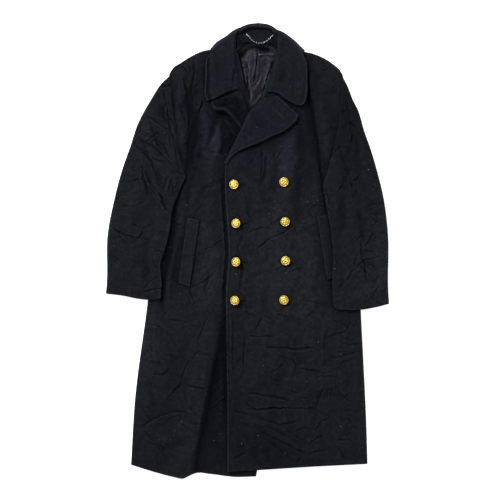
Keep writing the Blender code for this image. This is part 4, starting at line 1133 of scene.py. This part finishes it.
# %% [markdown]
# ## Pocket welts
# Each pocket has a slanting welt, a folded strip sewn on at its ends. It is a narrow panel on the front
# with rounded edges, and a pressed line a little in from each end where it is stitched down.

# %% Pocket welts
WELT_STITCH = 7.5  # mm from an end to its line of stitches
WELT_EXTRA = 1.4  # mm, how much thicker the folded strip is than plain melton
WELT_PRESS = 1.1  # mm, the depth of the line of stitches


def welt_wall(plan, u, v, distance):
    """Folded cloth, thinner along the stitched line near each end."""
    end = np.minimum(distance["foot"], distance["top"])
    return MELTON_WALL + WELT_EXTRA - WELT_PRESS * bell(end, WELT_STITCH, 1.4)


RIGHT_WELT = {"start": [(-176, -83), (-153, 84)], "end": [(-147, -93), (-122, 77)]}
LEFT_WELT = {"start": [(203, -76), (177, 86)], "end": [(229, -66), (205, 92)]}
for side, welt, crease in (
    ("right", RIGHT_WELT, [([(-167, -16), (-150, -14), (-132, -14)], 3, 1.2)]),
    ("left", LEFT_WELT, [([(190, 30), (214, 34)], 3, 1.0)]),
):
    welt["foot"] = [welt["start"][0], welt["end"][0]]
    welt["top"] = [welt["start"][1], welt["end"][1]]
    lay(f"{side}_pocket_welt", welt, 2.4, loft=1.8, wall=welt_wall, creases=crease,
        swell=0.1, free=ALL_EDGES, seed=31, nose=1.8)

# %% [markdown]
# ## The sleeves
# A sleeve is a tube pressed flat: the under sleeve lies on the coat and the table, and the top sleeve
# folds down over it at both sides. The cap is sewn into the armhole: the cloth is drawn down to that
# seam, and creases run out from it across the arm. The elbow and the cuff have their own.

# %% Sleeve seams
SLEEVES = {
    "left": {
        "foot": [(219, -140), (226, -148), (248, -151), (290, -151), (330, -144), (361, -136)],
        "top": [(191, 165), (211, 232), (227, 302), (232, 345), (237, 400), (240, 447)],
        "start": [(219, -140), (216, -83), (218, -4), (214, 34), (207, 79), (191, 165)],
        "end": [(361, -136), (359, -101), (358, 47), (348, 129), (330, 205), (315, 256), (297, 307),
                (282, 358), (269, 384), (252, 426), (240, 447)],
    },
    "right": {
        "foot": [(-361, -110), (-314, -116), (-280, -123), (-251, -126), (-222, -125)],
        "top": [(-196, 448), (-191, 400), (-185, 345), (-180, 302), (-170, 243), (-156, 192)],
        "start": [(-361, -110), (-359, -85), (-356, 47), (-340, 129), (-320, 205), (-298, 268), (-280, 322),
                  (-264, 354), (-246, 385), (-221, 424), (-196, 448)],
        "end": [(-222, -125), (-219, -83), (-221, -28), (-212, -1), (-202, 32), (-190, 105), (-168, 164),
                (-156, 192)],
    },
}
SLEEVE_CREASES = {
    "right": [
        ([(-264, 348), (-232, 328), (-197, 303)], 3.5, 2.2),
        ([(-245, 316), (-238, 290), (-225, 258)], 3.5, 2.8),
        ([(-213, 416), (-205, 365), (-198, 314), (-191, 292), (-180, 266), (-172, 232)], 4.5, 2.4),
        ([(-226, 400), (-222, 365), (-214, 330)], 6, 1.8),
        ([(-280, 293), (-255, 273), (-228, 255), (-200, 228), (-180, 202)], 3.5, 2.6),
        ([(-280, 268), (-260, 246), (-243, 225), (-235, 195), (-225, 170)], 5, 2.4),
        ([(-219, 420), (-205, 418), (-190, 423)], 5, 4.5),
        ([(-268, 218), (-265, 190), (-250, 135)], 4, 2.4),
        ([(-238, 218), (-228, 198), (-218, 150), (-212, 105)], 6, 2.4),
        ([(-343, 62), (-333, 49), (-310, 40), (-283, 30)], 3.5, 2.6),
        ([(-195, 180), (-192, 165), (-190, 152)], 5, 2.0),
        ([(-222, 147), (-215, 120), (-207, 99)], 5, 2.0),
        ([(-263, -105), (-245, -100), (-228, -95)], 4, 1.4),
        ([(-254, 40), (-258, -30), (-258, -100)], 12, 2.4),
        ([(-178, 275), (-175, 240)], 5, 1.6),
        ([(-284, 269), (-272, 252), (-261, 243)], 4, 2.2),
        ([(-195, 186), (-201, 141)], 5, 2.0),
        ([(-172, 294), (-165, 250), (-160, 218)], 5, 2.4),
        ([(-226, 148), (-214, 122), (-204, 97)], 5, 2.2),
        ([(-255, 250), (-235, 228), (-205, 200)], 9, -2.4),
        ([(-262, 330), (-250, 300), (-240, 272)], 9, -2.0),
        ([(-215, 413), (-210, 371), (-215, 345)], 4, 2.4),
        ([(-172, 345), (-158, 294), (-152, 252)], 4, 2.2),
        ([(-274, 226), (-249, 175), (-215, 133), (-198, 107)], 3.5, 2.2),
        ([(-325, 116), (-291, 112), (-257, 124)], 3.5, 1.4),
        ([(-236, 290), (-212, 262), (-196, 226)], 3.5, 2.0),
        ([(-193, 303), (-178, 226), (-172, 200)], 3.5, 2.0),
        ([(-300, 70), (-268, 56), (-232, 72)], 4, 1.2),
    ],
    "left": [
        ([(240, 351), (258, 358)], 4, 1.8),
        ([(242, 218), (246, 120), (243, 28)], 10, 1.8),
        ([(262, 218), (248, 170), (233, 142)], 8, 2.0),
        ([(280, 107), (292, 60), (292, 13)], 8, 2.0),
        ([(280, -7), (275, -25), (271, -46)], 4, 1.7),
        ([(271, -48), (285, -35), (298, -25), (342, -13)], 3.5, 1.7),
        ([(271, -48), (250, -78), (227, -101)], 4, 1.6),
        ([(298, -25), (301, -75)], 4, 1.6),
        ([(339, -86), (322, -112), (303, -133)], 4, 1.5),
        ([(336, 77), (324, 68), (312, 57)], 3, 1.6),
        ([(300, 330), (308, 280), (315, 230)], 10, 1.8),
        ([(275, 330), (282, 250), (285, 180)], 9, 1.8),
        ([(226, 150), (222, 60), (228, -40)], 9, -1.8),
        ([(291, 48), (289, 20), (291, -16)], 3.5, 1.6),
        ([(222, 300), (240, 240), (262, 190), (270, 120)], 4, 1.6),
        ([(250, 390), (262, 320), (268, 262)], 4, 1.4),
        ([(300, 200), (322, 186), (338, 182)], 3.5, 1.4),
    ],
}
print("sleeve creases", {side: len(rows) for side, rows in SLEEVE_CREASES.items()})

# %% Sleeve pairs
ARMHOLE_REACH = 55.0  # mm over which the sleeve rises from the armhole seam
UNDER_ACROSS, UNDER_ALONG = (0.06, 0.88), (0.014, 0.84)  # start and size, as shares of the top sleeve
SLEEVE_FOLDS = {  # mm, the radius of each fold and how far its edge stays above what is beside it
    "left": {"start": (8.0, 6.0), "end": (7.0, 0.0)},
    "right": {"start": (7.0, 0.0), "end": (8.0, 6.0)},
}


def hidden_layer(edges):
    """The four edges of an under sleeve: lines of the top sleeve's plan, a little inside its folds."""
    share = np.linspace(0, 1, 13)
    plan = patch(edges, UNDER_ACROSS[0] + UNDER_ACROSS[1] * share, UNDER_ALONG[0] + UNDER_ALONG[1] * share)
    return {"foot": plan[0], "top": plan[-1], "start": plan[:, 0], "end": plan[:, -1]}


for side, edges in SLEEVES.items():
    lay(f"{side}_under_sleeve", hidden_layer(edges), 7.0, loft=0.6, swell=0.1,
        free=ALL_EDGES, seed=37)
    lay(f"{side}_top_sleeve", edges, 2.3, loft=6.5,
        creases=SLEEVE_CREASES[side], minor=46, crumple=0.9, turned=SLEEVE_FOLDS[side],
        sewn={"top": ARMHOLE_REACH}, free=("foot",), nose=2.6, seed=41)

# %% [markdown]
# ## Buttons
# The buttons are stamped from brass sheet and gilded: a flat dome with a raised rim on a shank. The dome
# carries a plain rosette of petals, a common ornament. The surface is a turned profile, with the petals
# added as a height that depends on the radius and on the angle. Each one stands on the left front and
# leans over on its shank.

# %% Button surface
SHANK_RADIUS = 2.9  # mm, the shank passes into the cloth, and the disc rests on it
PETALS = 6
BUTTON_POINTS = 56  # round each ring of the profile
PROFILE = [(0.0, 5.6), (1.2, 5.6), (2.4, 5.58), (3.6, 5.52), (4.8, 5.44), (6.0, 5.32), (7.0, 5.18),
           (7.8, 5.0), (8.5, 4.75), (9.0, 4.5), (9.3, 4.45), (9.7, 4.8), (10.2, 5.25), (10.8, 5.3),
           (11.3, 5.0), (11.9, 4.3), (12.5, 3.6), (12.7, 3.1), (12.4, 2.6), (11.6, 2.2), (8.0, 1.9),
           (3.0, 1.8), (2.6, 0.1), (0.0, 0.0)]  # mm, radius and height
DOME_RINGS = 11  # of the profile's rings are on the dome
UNDER_RIM = 4.4  # mm, past the dome all that lies lower gets painted shade
HEART_REACH = 2.2  # mm
PETAL_RING, GROOVE = (5.8, 1.9), (3.6, 0.9)  # mm, the middle radius of a ring of the relief and its reach
RIM_GROOVE, RIM_TOP = (9.1, 0.6), (10.5, 0.6)


def round_angles(count):
    """Angles of count points spread evenly round a circle."""
    return np.linspace(0, 2 * math.pi, count + 1)[:-1]


def button_grid():
    """Turned profile: radius times the cosine and sine of the angle, with the rosette's height added."""
    radius, height = np.array(PROFILE).T[..., None]
    turn = round_angles(BUTTON_POINTS)[None, :]
    dome = (np.arange(len(PROFILE)) < DOME_RINGS)[:, None]
    petal = np.cos(PETALS * turn / 2) ** 2 * bell(radius, *PETAL_RING)
    heart = bell(radius, 0.0, HEART_REACH)
    rise = dome * (0.9 * petal + 0.7 * heart - 0.5 * bell(radius, *GROOVE))
    # tarnish in the rosette's hollows and the rim's groove, a painted highlight on the rim's top, and
    # painted shade on all below the dome
    tarnish_and_shade = dome * (0.8 * petal + 0.7 * heart) - 0.4 * bell(radius, *RIM_GROOVE) - 0.35
    tarnish_and_shade = tarnish_and_shade + 0.55 * bell(radius, *RIM_TOP) - 1.3 * (~dome & (height < UNDER_RIM))
    return np.stack([radius * np.cos(turn), radius * np.sin(turn), height + rise], -1), tarnish_and_shade


def closed_turn_faces(rows, columns):
    """A quad for each cell of a grid that closes on itself across its columns."""
    k = np.arange(rows * columns).reshape(rows, columns)
    following = np.roll(k, -1, axis=1)
    return np.stack([k[1:], following[1:], following[:-1], k[:-1]], -1).reshape(-1, 4)


print("button grid", button_grid()[1].shape)

# %% Buttons in place
BUTTON_GAP = 0.3  # mm between a disc and the cloth
BUTTONS = {  # place, and how far the button leans over on its shank, in degrees
    "right": [((-34, 168), -10), ((-28, 69), -20), ((-28, -29), -20), ((-31, -127), -18)],
    "left": [((93, 174), -4), ((96, 73), -3), ((97, -26), -6), ((93, -126), -4)],
}


def spun(a, b, angle):
    """Two coordinates turned through an angle: a cos less b sin, and a sin plus b cos."""
    return a * math.cos(angle) - b * math.sin(angle), a * math.sin(angle) + b * math.cos(angle)


def add_button(name, spot, turned_by, lean):
    """A button turned about its shank, leaning to one side and lifted just clear of the cloth."""
    grid, tarnish_and_shade = button_grid()
    x, y = spun(grid[..., 0], grid[..., 1], turned_by)
    z, x = spun(grid[..., 2], x, lean)
    points = np.stack([x, y, z], -1) + np.array([*spot, 0.0])
    disc = np.hypot(grid[..., 0], grid[..., 1]) > SHANK_RADIUS
    points[..., 2] += (read(pile, points) - points[..., 2])[disc].max() + BUTTON_GAP
    button = add_mesh(name, points.reshape(-1, 3), closed_turn_faces(*tarnish_and_shade.shape).tolist(), gilt)
    write_painted_light(button, np.broadcast_to(tarnish_and_shade, grid.shape[:2]))
    return button


for column, rows in BUTTONS.items():
    for row, (spot, lean) in enumerate(rows, 1):
        turned_by = 0.6 * row + (1.1 if column == "left" else 0.0)
        button = add_button(f"button_{column}_{row}_gilt", spot, turned_by, math.radians(lean))
        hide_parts(f"button_{column}_{row}")
print("buttons", sum(len(rows) for rows in BUTTONS.values()))

# %% [markdown]
# ## The hanger chain
# A short chain of wire links is sewn into the neck by a plate at each end, of which the right one is
# longer. One link is a wire carried round an oval. Links lie flat and stand upright in turn, so that each
# one passes through the next, and a flat link is broad at its sides, where it catches the light.

# %% Chain links
CHAIN_ROUTE = [(2.5, 546), (5, 543.5), (9, 538), (15, 533), (26, 528.5), (33, 528), (44, 531), (53, 537),
               (60, 544), (63, 547)]
LINKS = 23
OVAL_POINTS, WIRE_POINTS = 20, 8  # round a link, and round its wire
WIRE = 0.27  # mm, its radius
FLAT_LINK = (1.9, 1.55, 0.6)  # mm, half its length, half its width and half the wire's breadth at its sides
UPRIGHT_LINK = (2.6, 1.1, 0.28)
FLAT_LEAN, UPRIGHT_LEAN = 0.1, 1.5  # radians from lying on its side
CHAIN_HEIGHT = 1.8  # mm from the cloth to the chain's line
FEELERS = ((0, 0), (2, 0), (-2, 0), (0, 2), (0, -2))  # mm, places round a link where it may touch the cloth


def cross_of(way):
    """Unit vector across each direction of a path, level with the table."""
    side = np.cross(way, (0.0, 0.0, 1.0))
    return side / np.linalg.norm(side, axis=1)[:, None]


def ring_faces(rows, columns):
    """A quad for each cell of a grid that closes on itself both ways."""
    k = np.arange(rows * columns).reshape(rows, columns)
    following = np.roll(k, -1, axis=1)
    corners = [k, following, np.roll(following, -1, axis=0), np.roll(k, -1, axis=0)]
    return np.stack(corners, -1).reshape(-1, 4)


def repeated(faces, count):
    """The faces of count copies of a mesh, whose points follow each other."""
    points = faces.max() + 1
    return (faces[None] + (np.arange(count) * points)[:, None, None]).reshape(-1, 4)


chain_line = through(CHAIN_ROUTE, np.linspace(0, 1, LINKS))
chain_level = np.max([read(pile, chain_line + feeler) for feeler in FEELERS], axis=0)
chain_middle = np.column_stack([chain_line, chain_level + CHAIN_HEIGHT])
chain_way = np.gradient(chain_middle, axis=0)
spacing = np.linalg.norm(chain_way, axis=1).mean()
chain_way /= np.linalg.norm(chain_way, axis=1)[:, None]
chain_side = cross_of(chain_way)
chain_up = np.cross(chain_side, chain_way)
print("links", LINKS, "spaced", round(float(spacing), 2), "mm")

# %% Chain mesh
lies_flat = np.arange(LINKS) % 2 == 0
lean = np.where(lies_flat, FLAT_LEAN, UPRIGHT_LEAN)[:, None]
link_flat = chain_side * np.cos(lean) + chain_up * np.sin(lean)
link_stand = np.cross(link_flat, chain_way)
oval = round_angles(OVAL_POINTS)[:, None]
ring = round_angles(WIRE_POINTS)[None, :]
link_sizes = [np.where(lies_flat, *sizes)[:, None, None] for sizes in zip(FLAT_LINK, UPRIGHT_LINK)]
half_length, half_width, half_side = link_sizes
broad = WIRE + (half_side - WIRE) * np.sin(oval) ** 2
along_link = (half_length - broad + broad * np.cos(ring)) * np.cos(oval)
across_link = (half_width - broad + broad * np.cos(ring)) * np.sin(oval)
out_of_link = WIRE * np.sin(ring) + 0 * oval
links_grid = (
    chain_middle[:, None, None, :]
    + along_link[..., None] * chain_way[:, None, None, :]
    + across_link[..., None] * link_flat[:, None, None, :]
    + out_of_link[None, ..., None] * link_stand[:, None, None, :]
)
chain_faces = repeated(ring_faces(OVAL_POINTS, WIRE_POINTS), LINKS)
chain = add_mesh("hanger_chain_links", links_grid.reshape(-1, 3), chain_faces.tolist(), steel)
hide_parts("hanger_chain")
print("chain faces", len(chain_faces))

# %% Chain plates
PLATES = (("right", 0, 1, 9.0), ("left", -1, -2, 4.0))  # side, last link, the one before, length in mm
PLATE_HALF = 1.5  # mm, half its width
PLATE_LAP = 1.0  # mm of the plate that lie under the last link
PLATE_GAP = 0.3  # mm between plate and cloth
PLATE_WALL, PLATE_BEVEL = 1.3, 0.5  # mm, its thickness in the middle, and how much less it is at the edge
for side, end, following, reach in PLATES:
    way = chain_line[end] - chain_line[following]
    way /= np.linalg.norm(way)
    across_way = np.array([way[1], -way[0]])
    u = np.linspace(-1, 1, 13)[None, :]
    v = np.linspace(0, 1, 17)[:, None]
    half = PLATE_HALF * np.sqrt(np.clip(1 - np.abs(2 * v - 1) ** 5, 0.02, 1))
    plan = chain_line[end] + (v * reach - PLATE_LAP)[..., None] * way + (u * half)[..., None] * across_way
    level = read(pile, plan).max() + PLATE_GAP
    crown = PLATE_WALL - PLATE_BEVEL * np.maximum(np.abs(u), np.abs(2 * v - 1)) ** 4
    lower, upper = (np.dstack([plan, z]) for z in (np.full(crown.shape, level), level + crown))
    plate = add_wall(f"chain_plate_{side}_steel", lower, upper, steel)
    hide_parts(f"chain_plate_{side}")
print("plates on the stand at", round(float(level), 1), "mm")

# %% [markdown]
# ## Buttonholes and hem stitches
# A tailored buttonhole is a slit whose edge is worked all round with silk twist. It is a thread carried
# round a long narrow loop that lies on the cloth. The hem is held by small stitches that show as a row of
# pale dots.

# %% Buttonholes
LOOP_POINTS = 64
LOOP_SEAT = 0.35  # mm from the cloth to the middle of the thread
HOLE_START, HOLE_END = (-1, 1), (29, -1)  # mm from the middle of the button that goes through it
HOLE_HALF, HOLE_THREAD = 1.3, 0.9  # mm, half the width of the loop and the radius of its thread
LAPEL_HALF, LAPEL_THREAD = 0.7, 0.45


def add_loop(name, start, end, half_width, thread, material):
    """A thread round a long loop: straight along both sides of the slit and round each end."""
    start, end = np.array(start, float), np.array(end, float)
    way = (end - start) / np.linalg.norm(end - start)
    side = np.array([-way[1], way[0]])
    angle = round_angles(LOOP_POINTS)
    reach = np.sign(np.cos(angle)) * np.abs(np.cos(angle)) ** 0.35 * np.linalg.norm(end - start) / 2
    plan = (start + end) / 2 + np.outer(reach, way) + np.outer(half_width * np.sin(angle), side)
    middle = np.column_stack([plan, read(pile, plan) + LOOP_SEAT])
    sideways = cross_of(np.roll(middle, -1, axis=0) - np.roll(middle, 1, axis=0))
    ring = round_angles(WIRE_POINTS)[None, :, None]
    out = thread * (np.cos(ring) * sideways[:, None] + np.sin(ring) * (0, 0, 0.8))
    points = (middle[:, None] + out).reshape(-1, 3)
    loop = add_mesh(name, points, ring_faces(LOOP_POINTS, WIRE_POINTS).tolist(), material)


for row, (spot, _) in enumerate(BUTTONS["right"], 1):
    start, end = np.add(spot, HOLE_START), np.add(spot, HOLE_END)
    add_loop(f"buttonhole_{row}", start, end, HOLE_HALF, HOLE_THREAD, navy_twist)
add_loop("lapel_buttonhole", (73, 356), (92, 334), LAPEL_HALF, LAPEL_THREAD, grey_twist)
print("buttonholes", len(BUTTONS["right"]) + 1)

# %% Hem stitches
HEM_STITCHES = 24
STITCH_RINGS = 7
STITCH_HALF, STITCH_RADIUS = 1.5, 0.55  # mm
STITCH_SEAT = 0.3  # mm from the cloth to the middle of the thread
stitch_path = through([(-36, -552), (20, -552), (80, -549)], np.linspace(0, 1, HEM_STITCHES))
t = np.linspace(-1, 1, STITCH_RINGS)[:, None]
ring = round_angles(WIRE_POINTS)[None, :]
thin = np.sqrt(np.clip(1 - t**2, 0.02, 1)) * STITCH_RADIUS
stitch = np.stack([STITCH_HALF * t + 0 * ring, thin * np.cos(ring), thin * np.sin(ring)], -1)
seat = np.column_stack([stitch_path, read(pile, stitch_path) + STITCH_SEAT])
stitches = (seat[:, None, None, :] + stitch[None]).reshape(-1, 3)
stitch_faces = repeated(closed_turn_faces(STITCH_RINGS, WIRE_POINTS), HEM_STITCHES)
hem = add_mesh("hem_stitches", stitches, stitch_faces.tolist(), grey_twist)
print("hem stitches", HEM_STITCHES)

# %% [markdown]
# ## Painted shade and highlight
# Each upper side is compared with the blurred map: what stands above it, such as an edge or a ridge,
# is painted paler, a painted highlight that is partly real wear of the nap, and what lies below it, or
# in a crease, is painted darker as shade. Soft patches of painted light and shade are added where light
# falls unevenly. The sum levels off at a limit, and only a few painted black shadows in gaps go past
# it. The materials read the value from an attribute.

# %% Painted shade and highlight attribute
RELIEF_LIGHT_ROWS = [  # reach of the blur, height above or below it that counts in full, and the share of each: a painted highlight above, partly wear, and painted shade below
    {"reach": 3.0, "height": 3.0, "above": 0.6, "below": 0.3},
    {"reach": 12.0, "height": 8.0, "above": 0.0, "below": 0.7},
    {"reach": 28.0, "height": 12.0, "above": 0.1, "below": 0.8},
]
PAINTED_LIGHT_LIMIT = 0.95  # the value levels off here, so that a deep hollow keeps its texture
HOLLOW_SHADE_SHARE = 0.45  # how much painted shade a full hollow gets
BUTTON_SHADOW, BUTTON_SHADOW_REACH = 0.9, 13.5  # how much painted shadow falls on the cloth round and under a button, and mm from its middle
PAINTED_LIGHT_PATCHES = {  # middle x and y, reach across and along, and tone of soft painted patches: a painted highlight above zero, painted shade below
    "right_front_cloth": [
        (-148, 380, 18, 60, -0.3), (-140, 270, 14, 70, -0.6), (-44, 274, 15, 42, -1.6),
        (-82, 270, 10, 45, 0.35), (-74, 343, 15, 9, -1.2), (-16, 300, 10, 30, -1.0),
        (-66, -235, 13, 60, -0.9), (-84, -310, 14, 60, -0.4), (-200, 10, 18, 70, -0.7),
        (-84, 285, 20, 45, 0.3), (-88, -420, 20, 130, -0.45), (-95, -40, 50, 140, 0.3),
        (-265, -230, 35, 110, 0.25), (-62, -225, 5, 40, -1.8), (-57, -310, 4, 90, -1.5),
    ],
    "left_front_cloth": [
        (155, 290, 26, 110, -0.3), (161, 350, 9, 40, -0.35), (173, 285, 9, 40, -0.35),
        (183, 225, 9, 40, -0.35), (191, 170, 9, 35, -0.35), (-30, -430, 22, 100, -0.25),
        (45, -505, 60, 45, -0.3), (98, 225, 25, 80, 0.35), (110, -40, 110, 190, 0.3),
        (105, -520, 60, 40, -0.2), (-53, -330, 4, 190, -0.5),
    ],
    "right_facing_cloth": [(-52, 380, 32, 14, -1.6), (-26, 352, 13, 26, -1.4), (-4, 335, 9, 28, -1.2)],
    "collar_stand_cloth": [(-18, 522, 14, 16, -0.7), (66, 520, 16, 18, -0.8), (25, 520, 40, 8, -0.6)],
    "back_lining_cloth": [(-28, 492, 14, 24, -0.6), (84, 478, 12, 30, -0.4)],
    "left_top_sleeve_cloth": [
        (252, 300, 26, 120, -0.5), (300, 320, 40, 90, -0.15), (222, 40, 14, 110, -0.2),
        (325, -70, 50, 130, 0.25),
    ],
}
PAINTED_SHADOWS = {  # the same columns, for painted black shadow in gaps beside an edge, past the limit
    "right_front_cloth": [(-61, -222, 4.5, 38, -0.9), (-57, -300, 4, 80, -0.8), (-41, 264, 7, 20, -0.6)],
}
SHADOWED_FOLDS = {  # painted black shadow in folds shut tight, given as creases
    "left_front_cloth": [([(148, 440), *ARM_FOLD[1:6]], 5.4, 4.5)],
}
FOLD_SHADOW = 0.55  # how much painted shade a full hollow gets there


def patches(table, name, upper):
    """The sum of a piece's patches at each point: each one is a tone that falls off as a bell both ways."""
    total = np.zeros(upper.shape[:2])
    for x, y, reach_x, reach_y, change in table.get(name, []):
        across, along = (upper[..., 0] - x) / reach_x, (upper[..., 1] - y) / reach_y
        total += change * np.exp(-(across**2) - along**2)
    return total


for piece, upper, hollow_shade in laid:
    # soft patches of painted light and shade, less the painted shade of the hollows
    value = patches(PAINTED_LIGHT_PATCHES, piece.name, upper) - HOLLOW_SHADE_SHARE * hollow_shade
    if piece.name == "left_front_cloth":
        # painted shadow on the cloth round each button
        for spot, _ in BUTTONS["right"] + BUTTONS["left"]:
            from_button = np.linalg.norm(upper[..., :2] - spot, axis=2)
            value = value - BUTTON_SHADOW * np.exp(-((from_button / BUTTON_SHADOW_REACH) ** 4))
    # raised parts get a painted highlight, partly wear, and lower parts get painted shade
    for relief_row in RELIEF_LIGHT_ROWS[:1] if piece.name == "back_lining_cloth" else RELIEF_LIGHT_ROWS:
        level = read(blur(pile, relief_row["reach"]), upper)
        over = np.clip((upper[..., 2] - level) / relief_row["height"], -1, 1)
        value = value + np.where(over > 0, relief_row["above"], relief_row["below"]) * over
    # painted black shadows go on past the limit
    value = PAINTED_LIGHT_LIMIT * np.tanh(value / PAINTED_LIGHT_LIMIT) + patches(PAINTED_SHADOWS, piece.name, upper)
    if piece.name in SHADOWED_FOLDS:
        value = value - FOLD_SHADOW * crease_relief(SHADOWED_FOLDS[piece.name], upper[..., :2])[1]
    if piece is collar:
        value = np.where(upper[..., 2] < read(pile, upper) - COLLAR_WALL, 0.0, value)
    values = np.zeros(len(piece.data.vertices), np.float32)
    values[-value.size:] = value.ravel()
    write_painted_light(piece, values)
print("shaded", len(laid), "pieces")

# %% [markdown]
# ## Table, light and camera
# The coat lies on a white light table. The main lamp stands beyond the collar on the wearer's right,
# large and with a narrowed beam, and weaker light comes from both sides and from the room. The camera
# looks straight down from high up, so there is hardly any perspective.

# %% Table and lights
TABLE_HALF = 6  # m, half its side
TABLE_LEVEL = -0.0006  # m, so that it doesn't touch the coat

paper, shader, _ = new_material("white light table")
shader.inputs["Base Color"].default_value = linear("#f4f4f4")
shader.inputs["Roughness"].default_value = 0.9
shader.inputs["Emission Color"].default_value = linear("#ffffff")
shader.inputs["Emission Strength"].default_value = 0.75
table_mesh = bpy.data.meshes.new("table")
corners = [(x * TABLE_HALF, y * TABLE_HALF, TABLE_LEVEL) for x, y in ((-1, -1), (1, -1), (1, 1), (-1, 1))]
table_mesh.from_pydata(corners, [], [(0, 1, 2, 3)])
table_mesh.materials.append(paper)
table = bpy.data.objects.new("table", table_mesh)
bpy.context.scene.collection.objects.link(table)

LIGHTS = [  # name, place and size in metres, watts, and spread in degrees
    ("key", (-1.9, 2.9, 3.0), (1.6, 1.2), 17.0, 50),
    ("left side", (-2.4, 0.0, 0.9), (0.6, 2.2), 9.0, 180),
    ("right side", (2.4, 0.0, 0.9), (0.6, 2.2), 9.0, 180),
]
for name, spot, size, power, spread in LIGHTS:
    lamp = bpy.data.lights.new(name, "AREA")
    lamp.shape = "RECTANGLE"
    lamp.size, lamp.size_y = size
    lamp.energy = power
    lamp.spread = math.radians(spread)
    holder = bpy.data.objects.new(name, lamp)
    holder.location = spot
    aim = np.zeros(3) - spot
    tilt, turn = math.acos(-aim[2] / np.linalg.norm(aim)), math.atan2(-aim[0], aim[1])
    holder.rotation_euler = (tilt, 0.0, turn)
    bpy.context.scene.collection.objects.link(holder)

room = bpy.data.worlds.new("room")
room.use_nodes = True
room.node_tree.nodes["Background"].inputs["Color"].default_value = linear("#eef0f4")
room.node_tree.nodes["Background"].inputs["Strength"].default_value = 0.45
bpy.context.scene.world = room
print("lights", len(LIGHTS))

# %% Camera
bpy.context.scene.view_settings.view_transform = "Standard"
EYE = (0.0064, 0.0013, 6.0)  # m, over the middle of the photo's frame
eye = bpy.data.cameras.new("camera")
eye.sensor_width = 36.0
eye.lens = 169.4
eye_holder = bpy.data.objects.new("camera", eye)
eye_holder.location = EYE
bpy.context.scene.collection.objects.link(eye_holder)
bpy.context.scene.camera = eye_holder
print("camera", EYE[2], "m above the table")
